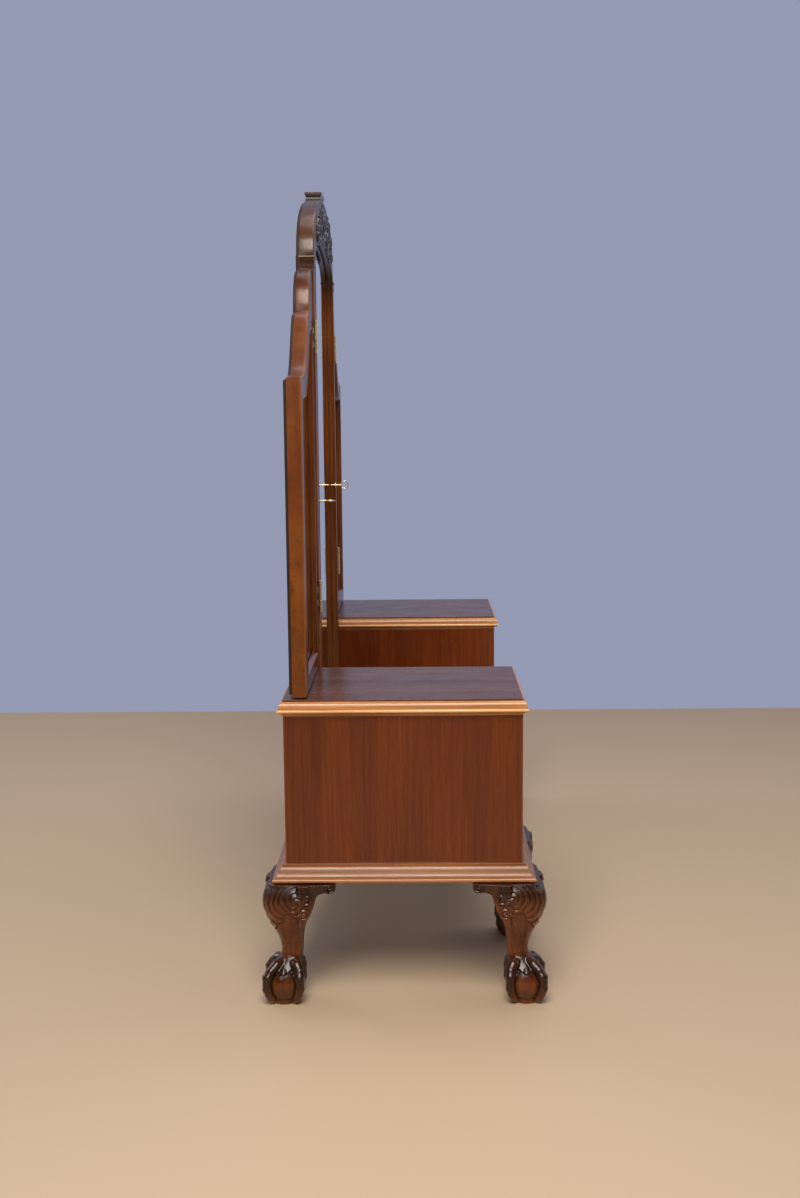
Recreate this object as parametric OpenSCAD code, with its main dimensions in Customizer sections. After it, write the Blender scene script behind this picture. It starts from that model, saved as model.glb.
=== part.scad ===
// Dressing table with two drawer pedestals on cabriole legs and a folding triple mirror.
// Millimetres. Origin on the floor under the middle; +X to the sitter's right as seen from the
// front, the drawers face -Y, +Z up.

/* [Table] */
// Width over the two pedestal tops
table_w = 1380; // [1300:10:1460]
// Depth over the pedestal tops
table_d = 480; // [450:5:520]
// Height of the pedestal tops above the floor
table_h = 596; // [580:2:640]
// Width over the top of one pedestal
pedestal_w = 350; // [340:5:370]
// Thickness of the carcase boards
board_t = 18; // [15:1:20]

/* [Mouldings] */
// Height of the moulded top
top_t = 32; // [28:1:36]
// How far the top moulding stands out from the carcase
top_over = 11; // [9:0.5:13]
// Height of the base moulding
base_h = 33; // [30:1:36]
// How far the base moulding stands out from the carcase
base_over = 25; // [22:1:26]

/* [Legs] */
// Height of the cabriole legs
leg_h = 240; // [236:1:244]
// Radius of the ball held in each claw foot
ball_r = 42; // [38:1:42]

/* [Drawers] */
// Clearance round each drawer front
drawer_gap = 1.5; // [1:0.5:3]
// How far a drawer pulls out
drawer_travel = 280; // [200:10:300]
// Distance between the two posts of a handle
handle_w = 64; // [50:2:76]

/* [Mirrors] */
// Thickness of the centre mirror's frame
frame_t = 32.5; // [30:0.5:34]
// Thickness of the wings' frames
wing_t = 28.5; // [26:0.5:30]
// Width of the frame's stiles and rails
stile_w = 46; // [42:1:50]
// Height of the shoulders where the wings meet the centre mirror
shoulder_z = 1433; // [1400:1:1440]
// Height of the outer corner of each wing
wing_corner_z = 1203; // [1190:1:1215]
// Height of the centre mirror's arch
arch_z = 1607; // [1590:1:1610]
// Thickness of the mirror glass
glass_t = 5; // [4:0.5:6]
// Length of a butt hinge
hinge_len = 69; // [60:1:75]

/* [Hidden] */
$fn = 48;
SIDES = ["left", "right"];
LEVELS = ["upper", "lower"];
LEGS = ["front_outer", "front_inner", "back_outer"];

// Carcase of one pedestal
carcase_w = pedestal_w - 2 * top_over;
carcase_d = table_d - 2 * top_over;
carcase_x = table_w / 2 - pedestal_w / 2;
carcase_top = table_h - top_t;
back_t = 12;
inner_w = carcase_w - 2 * board_t;
plinth_top = leg_h + base_h + 1;
side_h = carcase_top - plinth_top;
dust_t = 12;
dust_z = plinth_top + (side_h - dust_t) / 2 + 3;
lip = 8;
mitre_gap = 0.05;

// Centre platform between the pedestals
platform_front = -150;
platform_t = 22;
platform_z = leg_h + base_h;
gap_w = 2 * (carcase_x - carcase_w / 2);

// Legs
foot_inset = 19;
ball_z = 36;

// Drawers
front_t = 20;
side_t = 8;
drawer_end = carcase_d / 2 - back_t - 12;
tray_drop = 18;

// Handles
plate_t = 1.5;
post_r = 4;
post_len = 7;
bail_r = 2;
pin_r = 1.6;
pin_clear = 0.05;
bail_drop = 17;
handle_y = -carcase_d / 2 - plate_t - 4.5;

// Mirrors: y runs back from the drawers, so the frame's face is its lowest y
face_y = table_d / 2 - 61;
back_y = face_y + frame_t;
wing_face_y = back_y - wing_t;
glass_y = face_y + 14;
backboard_t = 5.5;
backboard_inset = 5;
through = 60;
centre_half = table_w / 2 - pedestal_w - 0.4;
wing_gap = 0.8;
wing_w = pedestal_w - 18;
wing_bottom = table_h + 3;
rebate = 7;
centre_bottom = platform_z + 1;
shoulder_h = 23;
shoulder_w = 43;
shoulder_proud = 3;
crest_proud = 8;
crest_drop = 101;
cap_h = 18;
cap_half = 52;
wing_rail = stile_w - 6;

// Arch of the centre mirror, and of its opening
arch_foot = shoulder_z + 30;
arch_ledge = 13.6;
opening_foot = shoulder_z + 7;
opening_rise = 72;

// Top of a wing: a rounded lobe beside the hinge, a ledge and a long cyma down to the corner
lobe_w = 86;
lobe_foot = wing_corner_z + 137;
ledge_x = 104;
cyma_x = 262;
cyma_top = wing_corner_z + 133;
cyma_foot = wing_corner_z + 6;
opening_cyma = [[62, wing_corner_z + 94], [252, wing_corner_z - 42]];

// Hinges
pin_axis_x = centre_half + wing_gap / 2;
pin_axis_y = face_y - 1.5;
knuckle_r = 4;
hinge_pin_r = 1.6;
leaf_t = 1.2;
leaf_w = 22;
leaf_set = 0.4;
knuckles = 5;
HINGE_Z = [748, 1290];

// Screws that hold the centre mirror
screw_r = 2.2;
screw_len = 46;
screw_clear = 0.3;

// Keys
key_x = centre_half - 50;
key_z = 948;
shank_r = 2.2;
shank_out = 14;
shank_in = 12;
bow_r = 9.3;
bow_wire_r = 1.2;

// ---------- outlines ----------

// Points of an elliptical arc about a centre, from one angle to another
function oval(c, rx, ry, a0, a1, n = 8) =
    [for (i = [0:n]) let (a = a0 + (a1 - a0) * i / n) [c[0] + rx * cos(a), c[1] + ry * sin(a)]];

function arc(c, r, a0, a1, n = 8) = oval(c, r, r, a0, a1, n);

// An S-shaped rise from one point to another: level, steep, level. lag above 1 keeps it low for longer.
function ogee(a, b, n = 10, lag = 1) = [for (i = [0:n])
    [a[0] + (b[0] - a[0]) * i / n, a[1] + (b[1] - a[1]) * (1 - cos(180 * pow(i / n, lag))) / 2]];

function reversed(p) = [for (i = [len(p) - 1:-1:0]) p[i]];
function mirrored(p) = [for (q = reversed(p)) [-q[0], q[1]]];

// Section of the top moulding: x outward from the carcase, y up from its underside
top_profile = concat(
    [[-lip, 0]],
    arc([top_over - 3.2, 0], top_over - 3.7, 180, 95, 5),
    arc([top_over - 3.2, 10.5], 3.2, -80, 75, 6),
    [[top_over - 2.9, 14], [top_over - 2.2, 15]],
    oval([0, 15], top_over - 2.5, top_t - 19, 0, 80, 7),
    [[0.5, top_t - 3.6], [0.5, top_t], [-lip, top_t]]
);

// Section of the base moulding: x outward from the carcase, y up from its underside
base_profile = concat(
    [[0, 0], [base_over - 4.2, 0.6]],
    arc([base_over - 4.2, 4.8], 4.2, -80, 70, 6),
    [[base_over - 4, 9.2], [base_over - 4.6, 10.4]],
    ogee([base_over - 5, 11], [6, base_h - 4], 8),
    [[6, base_h], [0, base_h]]
);

// Half outline of the centre mirror from its top middle down to its shoulder, drawn in by an inset
function arch_half(inset) = concat(
    oval([0, arch_foot - inset], centre_half - arch_ledge - inset, arch_z - arch_foot, 90, 0, 20),
    [[centre_half - inset, arch_foot - inset]]
);

// Half outline of the top of the centre mirror's opening, made larger all round by grow
function opening_half(grow) =
    oval([0, opening_foot + grow], centre_half - stile_w + grow, opening_rise, 90, 0, 16);

// A closed outline from the half outline of its top and a level floor
function closed(half, floor_z) = let (x = half[len(half) - 1][0])
    concat(half, [[x, floor_z], [-x, floor_z]], mirrored(half));

function centre_outline(inset, floor_z) = closed(arch_half(inset), floor_z);
function centre_opening(grow) = closed(opening_half(grow), centre_bottom + stile_w - grow);

// Outline of a wing, x out from its hinged edge, drawn in by an inset
function wing_outline(inset, floor_z) = concat(
    [[inset, floor_z]],
    oval([inset, lobe_foot - inset], lobe_w - 2 * inset, shoulder_z - 3 - lobe_foot, 90, 0, 12),
    reversed(ogee([cyma_x - inset, cyma_foot - inset], [ledge_x - inset, cyma_top - inset], 14, 1.25)),
    [[wing_w - inset, wing_corner_z - inset], [wing_w - inset, floor_z]]
);

// Outline of a wing's opening, made larger all round by grow
function wing_opening(grow) = let (a = opening_cyma[0], b = opening_cyma[1], side = 0.6 * grow) concat(
    [[stile_w - grow, wing_bottom + wing_rail - grow], [stile_w - grow, a[1] + grow]],
    reversed(ogee([b[0] + side, b[1] + grow], [a[0] + side, a[1] + grow], 14, 1.25)),
    [[wing_w - stile_w + grow, b[1] - 4 + grow], [wing_w - stile_w + grow, wing_bottom + wing_rail - grow]]
);

// ---------- helpers ----------

function side_sign(s) = s == "left" ? -1 : 1;

// A right-hand pedestal's shapes, moved to its place and mirrored for the left one
module pedestal(s) {
    mirror([s == "left" ? 1 : 0, 0, 0]) translate([carcase_x, 0, 0]) children();
}

// A right-hand shape about the table's middle, mirrored for the left
module handed(s) {
    mirror([s == "left" ? 1 : 0, 0, 0]) children();
}

// Stands an outline drawn in x and z upright, from y0 back over a thickness
module upright(y0, thickness) {
    translate([0, y0 + thickness, 0]) rotate([90, 0, 0]) linear_extrude(thickness) children();
}

// A length of moulding along x whose section runs out along +y. Each end is cut at 45 degrees:
// 1 grows outward for an outside corner, -1 shortens for an inside one and 0 is square.
module moulding(profile, len, reach, end_a, end_b) {
    plan = [
        [-len / 2 + end_a * lip + mitre_gap, -lip],
        [-len / 2 - end_a * reach + mitre_gap, reach],
        [len / 2 + end_b * reach - mitre_gap, reach],
        [len / 2 - end_b * lip - mitre_gap, -lip]
    ];
    intersection() {
        translate([-len / 2 - reach, 0, 0]) rotate([90, 0, 90])
            linear_extrude(len + 2 * reach) polygon(profile);
        translate([0, 0, -1]) linear_extrude(top_t + base_h) polygon(plan);
    }
}

// ---------- pedestal ----------

module top_board() {
    color("sienna") translate([-carcase_w / 2 + lip, -carcase_d / 2 + lip, carcase_top])
        cube([carcase_w - 2 * lip, carcase_d - 2 * lip, top_t]);
}

module top_moulding() {
    color("peru") for (i = [0:3]) {
        across = i % 2 == 0;
        rotate(90 * i) translate([0, (across ? carcase_d : carcase_w) / 2, carcase_top])
            moulding(top_profile, across ? carcase_w : carcase_d, top_over, 1, 1);
    }
}

module outer_side() {
    color("saddlebrown") translate([carcase_w / 2 - board_t, -carcase_d / 2, plinth_top])
        cube([board_t, carcase_d, side_h]);
}

// Bored for the screws that hold the mirror
module inner_side() {
    color("saddlebrown") difference() {
        translate([-carcase_w / 2, -carcase_d / 2, plinth_top]) cube([board_t, carcase_d, side_h]);
        translate([-carcase_x, 0, 0]) screw_places() screw_shape(screw_clear);
    }
}

module back_panel() {
    color("saddlebrown") translate([-inner_w / 2, carcase_d / 2 - back_t, plinth_top])
        cube([inner_w, back_t, side_h]);
}

// Solid base block that the legs, the base moulding and the carcase sides are fixed to
module plinth() {
    color("saddlebrown") translate([-carcase_w / 2, -carcase_d / 2, leg_h])
        cube([carcase_w, carcase_d, plinth_top - leg_h]);
}

module dust_board() {
    color("saddlebrown") translate([-inner_w / 2, -carcase_d / 2, dust_z])
        cube([inner_w, carcase_d - back_t, dust_t]);
}

// Outer end, front and back lengths, and a short inner return that meets the platform
module base_moulding() {
    return_len = carcase_d / 2 + platform_front;
    color("peru") translate([0, 0, leg_h]) {
        rotate(-90) translate([0, carcase_w / 2, 0])
            moulding(base_profile, carcase_d, base_over, 1, 1);
        rotate(180) translate([0, carcase_d / 2, 0])
            moulding(base_profile, carcase_w, base_over, 1, 1);
        translate([0, carcase_d / 2, 0])
            moulding(base_profile, carcase_w, base_over, 0, 1);
        translate([-carcase_w / 2, platform_front - return_len / 2, 0]) rotate(90)
            moulding(base_profile, return_len, base_over, 1, -1);
    }
}

// ---------- legs ----------

// Stations down a cabriole leg: height, centre of the section toward the corner, half width
function leg_stations() = let (h = leg_h) [
    [h, -15, 42], [h - 16, -12, 47], [h - 33, -9, 48], [h - 50, -9, 47], [h - 64, -10, 43],
    [h - 76, -10, 38], [h - 90, -11, 32], [h - 102, -12, 28], [h - 116, -15, 24], [h - 130, -16, 22.5],
    [h - 140, -16.5, 22], [h - 150, -14, 24], [h - 160, -8, 30], [ball_z + 30, -3, 36], [ball_z + 14, 0, 38]
];

module leg_silhouette(stretch, lean) {
    st = leg_stations();
    polygon(concat(
        [for (p = st) [p[1] * lean - p[2] * stretch, p[0]]],
        [for (p = reversed(st)) [p[1] * lean + p[2] * stretch, p[0]]]
    ));
}

// Bracket that carries the knee back under the moulding, ending in a scroll
module leg_ear() {
    ear_t = 26;
    upright(-2, ear_t) polygon(concat(
        [[-36, leg_h], [-36, leg_h - 80], [-43, leg_h - 76]],
        arc([-86, leg_h - 40], 24, -25, 75, 5),
        arc([-93, leg_h - 8], 9, -70, -180, 6),
        [[-102, leg_h]]
    ));
}

// Sawn from the square on two faces, its corners taken off on the diagonal, on a ball foot.
// The knee points to +x +y.
module leg_shape() {
    reach = 120;
    color("saddlebrown") union() {
        intersection() {
            translate([0, reach, 0]) rotate([90, 0, 0])
                linear_extrude(2 * reach) leg_silhouette(1, 1);
            translate([-reach, 0, 0]) rotate([90, 0, 90])
                linear_extrude(2 * reach) leg_silhouette(1, 1);
            rotate(45) translate([0, reach, 0]) rotate([90, 0, 0])
                linear_extrude(2 * reach) leg_silhouette(1.12, sqrt(2));
            rotate(-45) translate([0, reach, 0]) rotate([90, 0, 0])
                linear_extrude(2 * reach) leg_silhouette(1.12, 0);
        }
        intersection() {
            translate([0, 0, ball_z]) sphere(ball_r);
            cylinder(h = 2 * ball_r, r = ball_r + 1);
        }
        leg_ear();
        mirror([1, -1, 0]) leg_ear();
    }
}

// Where each leg stands under its pedestal, and which way its knee points
module placed_leg(l) {
    x = carcase_w / 2 + base_over - foot_inset;
    y = carcase_d / 2 + base_over - foot_inset;
    sx = l == "front_inner" ? -1 : 1;
    sy = l == "back_outer" ? 1 : -1;
    translate([sx * x, sy * y, 0])
        mirror([sx < 0 ? 1 : 0, 0, 0]) mirror([0, sy < 0 ? 1 : 0, 0]) leg_shape();
}

// ---------- platform ----------

module platform_board() {
    color("sienna") translate([-gap_w / 2, platform_front, platform_z - platform_t])
        cube([gap_w, carcase_d / 2 - platform_front, platform_t]);
}

module platform_moulding() {
    color("peru") translate([0, platform_front, leg_h]) rotate(180)
        moulding(base_profile, gap_w, base_over, -1, -1);
}

// ---------- drawers ----------

function drawer_floor(v) = v == "upper" ? dust_z + dust_t : plinth_top;
function drawer_ceiling(v) = v == "upper" ? carcase_top : dust_z;
function drawer_mid(v) = (drawer_floor(v) + drawer_ceiling(v)) / 2;

module drawer_front(v) {
    height = drawer_ceiling(v) - drawer_floor(v) - 2 * drawer_gap;
    color("sienna") translate([drawer_gap - inner_w / 2, -carcase_d / 2, drawer_floor(v) + drawer_gap])
        cube([inner_w - 2 * drawer_gap, front_t, height]);
}

// Open tray of sides, back and bottom, behind the front
module drawer_tray(v) {
    height = drawer_ceiling(v) - drawer_floor(v) - drawer_gap - tray_drop;
    depth = drawer_end + carcase_d / 2 - front_t;
    width = inner_w - 4 * drawer_gap;
    bottom_t = 6;
    color("burlywood") translate([-width / 2, front_t - carcase_d / 2, drawer_floor(v) + drawer_gap])
        difference() {
            cube([width, depth, height]);
            translate([side_t, -1, bottom_t]) cube([width - 2 * side_t, depth + 1 - side_t, height]);
        }
}

// Back plate with two posts, each bored along x for the bail's pins
module handle_plate(v) {
    color("goldenrod") translate([0, 0, drawer_mid(v)]) difference() {
        union() {
            upright(-carcase_d / 2 - plate_t, plate_t) hull() for (x = [-1, 1]) {
                translate([x * handle_w / 2, 0]) circle(11);
                translate([x * handle_w / 5, -2]) circle(13);
            }
            for (x = [-1, 1]) translate([x * handle_w / 2, -carcase_d / 2 - plate_t, 0])
                rotate([90, 0, 0]) cylinder(h = post_len, r = post_r);
        }
        translate([-handle_w, handle_y, 0]) rotate([0, 90, 0])
            cylinder(h = 2 * handle_w, r = pin_r + pin_clear);
    }
}

// Hanging handle: two pins, two drops and a bar
module bail(v) {
    drop_x = handle_w / 2 - post_r - 3.5;
    color("gold") translate([0, handle_y, drawer_mid(v)]) {
        for (x = [-1, 1]) {
            translate([x * (drop_x + handle_w / 2 + 3) / 2, 0, 0]) rotate([0, 90, 0])
                cylinder(h = handle_w / 2 + 3 - drop_x, r = pin_r, center = true);
            translate([x * drop_x, 0, 0]) sphere(bail_r);
            translate([x * drop_x, 0, -bail_drop]) cylinder(h = bail_drop, r = bail_r);
            translate([x * drop_x, 0, -bail_drop]) sphere(bail_r);
        }
        translate([-drop_x, 0, -bail_drop]) rotate([0, 90, 0]) cylinder(h = 2 * drop_x, r = bail_r);
    }
}

// ---------- mirrors ----------

// Space cut in a frame's edge for a hinge's leaf and its round knuckles
module hinge_recess(edge_x, inward) {
    for (z = HINGE_Z) translate([0, 0, z - hinge_len / 2 - 0.5]) {
        translate([pin_axis_x, pin_axis_y, 0]) cylinder(h = hinge_len + 1, r = knuckle_r + 0.5);
        translate([min(edge_x, edge_x + inward * (leaf_t + 0.1)), pin_axis_y, 0])
            cube([leaf_t + 0.1, wing_face_y + leaf_set + leaf_w + 0.5 - pin_axis_y, hinge_len + 1]);
    }
}

module centre_frame() {
    color("sienna") difference() {
        union() {
            upright(face_y, frame_t) polygon(centre_outline(0, centre_bottom));
            for (s = SIDES) handed(s)
                translate([centre_half - shoulder_w + shoulder_proud, face_y - shoulder_proud, shoulder_z])
                cube([shoulder_w, frame_t + shoulder_proud, shoulder_h]);
        }
        upright(face_y - shoulder_w, through) polygon(centre_opening(0));
        upright(glass_y, through) polygon(centre_opening(rebate));
        for (s = SIDES) handed(s) {
            screw_places() screw_shape(pin_clear);
            hinge_recess(centre_half, -1);
            translate([key_x, face_y - 1, key_z]) rotate([-90, 0, 0])
                cylinder(h = shank_in + 2, r = shank_r + pin_clear);
        }
    }
}

module centre_glass() {
    color("lightsteelblue") upright(glass_y, glass_t) polygon(centre_opening(rebate - 1));
}

module centre_backboard() {
    color("darkslategray") upright(back_y, backboard_t)
        polygon(centre_outline(backboard_inset, centre_bottom + backboard_inset));
}

// Half outline of the carving on the arch, from its lowest point round to its top middle
function crest_half() = [
    [0, arch_z - crest_drop], [46, arch_z - 95], [92, arch_z - 101], [152, arch_z - 108], [208, arch_z - 117],
    [244, arch_z - 118], [254, arch_z - 104], [240, arch_z - 77], [200, arch_z - 46], [150, arch_z - 25],
    [100, arch_z - 12], [cap_half, arch_z - 4], [0, arch_z]
];

// Carving on the arch's face with a moulded cap above it
module crest() {
    side = crest_half();
    color("saddlebrown") {
        upright(face_y - crest_proud, crest_proud)
            polygon(concat(side, [for (i = [len(side) - 2:-1:1]) [-side[i][0], side[i][1]]]));
        translate([-cap_half, face_y + 1, arch_z]) cube([2 * cap_half, frame_t + backboard_t, cap_h]);
    }
}

module wing_place(s) {
    handed(s) translate([centre_half + wing_gap, 0, 0]) children();
}

module wing_frame(s) {
    color("sienna") difference() {
        wing_place(s) upright(wing_face_y, wing_t) polygon(wing_outline(0, wing_bottom));
        wing_place(s) upright(wing_face_y - 1, through) polygon(wing_opening(0));
        wing_place(s) upright(glass_y, through) polygon(wing_opening(rebate));
        handed(s) hinge_recess(centre_half + wing_gap, 1);
    }
}

module wing_glass(s) {
    color("lightsteelblue") wing_place(s) upright(glass_y, glass_t) polygon(wing_opening(rebate - 1));
}

module wing_backboard(s) {
    color("darkslategray") wing_place(s)
        upright(back_y, backboard_t) polygon(wing_outline(backboard_inset, wing_bottom + backboard_inset));
}

// ---------- hinges ----------

// One leaf at each hinge height: plate in the frame's edge, joined to alternate knuckles
module leaves(edge_x, inward, first, bored) {
    pitch = hinge_len / knuckles;
    x0 = min(edge_x, edge_x + inward * leaf_t);
    color("gold") for (z = HINGE_Z) translate([0, 0, z - hinge_len / 2]) difference() {
        union() {
            translate([x0, wing_face_y + leaf_set, 0]) cube([leaf_t, leaf_w, hinge_len]);
            for (i = [first:2:knuckles - 1]) translate([0, 0, i * pitch + 0.15]) {
                translate([pin_axis_x, pin_axis_y, 0]) cylinder(h = pitch - 0.3, r = knuckle_r);
                translate([x0, pin_axis_y, 0]) cube([leaf_t, wing_face_y + 1 - pin_axis_y, pitch - 0.3]);
            }
            if (!bored) translate([pin_axis_x, pin_axis_y, 0]) cylinder(h = hinge_len, r = hinge_pin_r);
        }
        if (bored) translate([pin_axis_x, pin_axis_y, -1])
            cylinder(h = hinge_len + 2, r = hinge_pin_r + pin_clear);
    }
}

module hinge_fixed_leaves(s) {
    handed(s) leaves(centre_half, -1, 0, false);
}

module hinge_wing_leaves(s) {
    handed(s) leaves(centre_half + wing_gap, 1, 1, true);
}

// ---------- keys and fixings ----------

// Shank in the lock with a ring bow, which stands level on the left and upright on the right
module key(s) {
    bow_y = face_y - shank_out - bow_r;
    color("gold") handed(s) {
        translate([key_x, face_y + shank_in, key_z]) rotate([90, 0, 0])
            cylinder(h = shank_in + shank_out + bow_wire_r, r = shank_r);
        translate([key_x, bow_y, key_z]) rotate([0, s == "left" ? 0 : 90, 0])
            rotate_extrude() translate([bow_r, 0]) circle(bow_wire_r, $fn = 24);
    }
}

module key_escutcheons() {
    color("goldenrod") for (s = SIDES) handed(s) translate([key_x, face_y, key_z]) rotate([90, 0, 0])
        difference() {
            cylinder(h = 1.2, r = 7);
            translate([0, 0, -1]) cylinder(h = 4, r = shank_r + 0.3);
        }
}

// A countersunk wood screw along x, its head flush inside the pedestal's inner side
module screw_shape(grow) {
    head_h = 3;
    translate([-screw_len, 0, 0]) rotate([0, 90, 0]) {
        cylinder(h = screw_len, r = screw_r + grow);
        translate([0, 0, screw_len - head_h]) cylinder(h = head_h, r1 = screw_r + grow, r2 = 4.5 + grow);
    }
}

// Both screw places on the right-hand side, at the inner face of the pedestal's inner side
module screw_places() {
    for (z = [centre_bottom + 60, carcase_top - 60])
        translate([gap_w / 2 + board_t, face_y + frame_t / 2, z]) children();
}

// Blocks in the gaps between the centre mirror's stiles and the pedestals' inner sides
module mirror_cleats() {
    color("saddlebrown") for (s = SIDES) handed(s) difference() {
        translate([centre_half, face_y + 2, centre_bottom + 20])
            cube([gap_w / 2 - centre_half, frame_t - 4, carcase_top - centre_bottom - 40]);
        screw_places() screw_shape(screw_clear);
    }
}

module mirror_screws() {
    color("silver") for (s = SIDES) handed(s) screw_places() screw_shape(0);
}

// ---------- the assembly ----------

for (s = SIDES) {
    pedestal(s) top_board();
    pedestal(s) top_moulding();
    pedestal(s) outer_side();
    pedestal(s) inner_side();
    pedestal(s) back_panel();
    pedestal(s) plinth();
    pedestal(s) dust_board();
    pedestal(s) base_moulding();
    wing_frame(s);
    wing_glass(s);
    wing_backboard(s);
    hinge_fixed_leaves(s);
    hinge_wing_leaves(s);
    key(s);
    for (l = LEGS)
        pedestal(s) placed_leg(l);
    for (v = LEVELS) {
        pedestal(s) drawer_front(v);
        pedestal(s) drawer_tray(v);
        pedestal(s) handle_plate(v);
        pedestal(s) bail(v);
    }
}
platform_board();
platform_moulding();
centre_frame();
centre_glass();
centre_backboard();
crest();
key_escutcheons();
mirror_cleats();
mirror_screws();
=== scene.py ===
"""Dressing table with a folding triple mirror: the looks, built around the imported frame.

Lengths are metres in the row frame: +X to the right seen from the front, the drawers face -Y, +Z up.
"""
import math

import bmesh
import bpy
import numpy as np
import openvdb
from mathutils import Matrix, Vector


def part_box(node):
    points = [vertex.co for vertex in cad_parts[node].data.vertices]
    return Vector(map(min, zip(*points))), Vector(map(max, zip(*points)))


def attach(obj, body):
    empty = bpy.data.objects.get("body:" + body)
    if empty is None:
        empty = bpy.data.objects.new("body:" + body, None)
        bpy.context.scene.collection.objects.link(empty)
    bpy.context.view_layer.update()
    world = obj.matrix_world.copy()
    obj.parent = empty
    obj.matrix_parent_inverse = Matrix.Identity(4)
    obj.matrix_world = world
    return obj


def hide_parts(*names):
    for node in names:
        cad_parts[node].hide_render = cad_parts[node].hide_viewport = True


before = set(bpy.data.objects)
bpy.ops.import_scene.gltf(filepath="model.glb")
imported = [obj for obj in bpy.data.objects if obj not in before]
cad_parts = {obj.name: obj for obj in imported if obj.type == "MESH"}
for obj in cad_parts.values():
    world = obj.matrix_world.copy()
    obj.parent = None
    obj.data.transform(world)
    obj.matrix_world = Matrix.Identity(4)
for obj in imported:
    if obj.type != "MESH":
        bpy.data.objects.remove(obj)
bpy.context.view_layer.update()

MM = 0.001
SIDES = ("left", "right")
LEVELS = ("upper", "lower")


# ---------------------------------------------------------------- camera, floor and lights

def aim(obj, place, forward, roll=0.0):
    """Puts obj at place with its -Z along forward, turned by roll about that line."""
    obj.matrix_world = (Matrix.Translation(place) @ Vector(forward).to_track_quat("-Z", "Y").to_matrix().to_4x4()
                        @ Matrix.Rotation(roll, 4, "Z"))


def make_camera():
    """Standing back from the table's left end, a little above its middle and looking along it."""
    tilt, turn, roll = 0.1399, 0.0138, -0.0093
    data = bpy.data.cameras.new("camera")
    data.sensor_fit = "AUTO"
    data.sensor_width = 36
    data.lens = 42.07
    cam = bpy.data.objects.new("camera", data)
    bpy.context.scene.collection.objects.link(cam)
    aim(cam, (-3.289, -0.0328, 1.1564),
        (math.cos(turn) * math.cos(tilt), math.sin(turn) * math.cos(tilt), -math.sin(tilt)), roll)
    bpy.context.scene.camera = cam


def softbox(name, place, target, size, watts, colour):
    data = bpy.data.lights.new(name, "AREA")
    data.shape = "RECTANGLE"
    data.size, data.size_y = size
    data.energy = watts
    data.color = colour
    lamp = bpy.data.objects.new(name, data)
    bpy.context.scene.collection.objects.link(lamp)
    aim(lamp, place, Vector(target) - Vector(place))


def make_stage():
    far = 1.9
    floor = mesh_object("floor", [(-9, -9, 0), (far, -9, 0), (far, 9, 0), (-9, 9, 0)], [(0, 1, 2, 3)])
    mat, nodes, links, shader = new_material("floor_paint")
    noise = add(nodes, "ShaderNodeTexNoise", Scale=1.3, Detail=3.0)
    links.new(tone(nodes, links, noise.outputs["Fac"], (0.50, 0.375, 0.245), (0.54, 0.41, 0.27)),
              shader.inputs["Base Color"])
    shader.inputs["Roughness"].default_value = 0.6
    floor.data.materials.append(mat)
    make_world()
    bpy.context.scene.view_settings.view_transform = "Standard"
    softbox("key", (-2.6, 0.1, 3.1), (-0.5, -0.1, 0.5), (1.7, 1.9), 128, (1.0, 0.93, 0.84))
    softbox("overhead", (0.3, -0.4, 3.5), (0.0, 0, 0), (2.0, 2.0), 24, (1.0, 0.96, 0.92))
    softbox("front", (0.6, -3.4, 2.0), (0, 0, 0.6), (1.6, 1.2), 11, (1.0, 0.97, 0.94))
    softbox("back", (1.2, 3.4, 2.4), (0, 0, 0.8), (1.6, 1.2), 30, (0.96, 0.98, 1.0))
    softbox("window", (-3.5, 1.2, 1.9), (-0.7, 0.1, 0.2), (0.7, 1.0), 8, (1.0, 0.99, 0.97))


def make_world():
    """Soft blue-grey surroundings, brighter beyond the table's right end than beyond its left."""
    world = bpy.data.worlds.new("studio")
    world.use_nodes = True
    nodes, links = world.node_tree.nodes, world.node_tree.links
    split = nodes.new("ShaderNodeSeparateXYZ")
    links.new(nodes.new("ShaderNodeTexCoord").outputs["Generated"], split.inputs["Vector"])
    across = spread(nodes, links, split.outputs["X"], -0.5, 0.6)
    links.new(tone(nodes, links, across, (0.070, 0.070, 0.076), (0.300, 0.326, 0.452)),
              nodes["Background"].inputs["Color"])
    bpy.context.scene.world = world


# ---------------------------------------------------------------- materials

def new_material(name):
    mat = bpy.data.materials.new(name)
    mat.use_nodes = True
    nodes, links = mat.node_tree.nodes, mat.node_tree.links
    return mat, nodes, links, nodes["Principled BSDF"]


def add(nodes, kind, **inputs):
    """A node with the named input sockets set."""
    node = nodes.new(kind)
    for key, value in inputs.items():
        node.inputs[key.replace("_", " ")].default_value = value
    return node


def tone(nodes, links, factor, low, high, start=0.0, end=1.0):
    """A colour that runs from low to high as factor goes from start to end."""
    ramp = nodes.new("ShaderNodeValToRGB")
    ramp.color_ramp.elements[0].position, ramp.color_ramp.elements[1].position = start, end
    ramp.color_ramp.elements[0].color = (*low, 1)
    ramp.color_ramp.elements[1].color = (*high, 1)
    links.new(factor, ramp.inputs["Fac"])
    return ramp.outputs["Color"]


def sum_of(nodes, links, a, b, op="ADD"):
    node = nodes.new("ShaderNodeMath")
    node.operation = op
    for socket, value in zip(node.inputs, (a, b)):
        if isinstance(value, (int, float)):
            socket.default_value = value
        else:
            links.new(value, socket)
    return node.outputs[0]


def spread(nodes, links, value, start, end, low=0.0, high=1.0):
    """value mapped from start..end to low..high and held there."""
    node = nodes.new("ShaderNodeMapRange")
    for key, number in (("From Min", start), ("From Max", end), ("To Min", low), ("To Max", high)):
        node.inputs[key].default_value = number
    links.new(value, node.inputs["Value"])
    return node.outputs["Result"]


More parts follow.
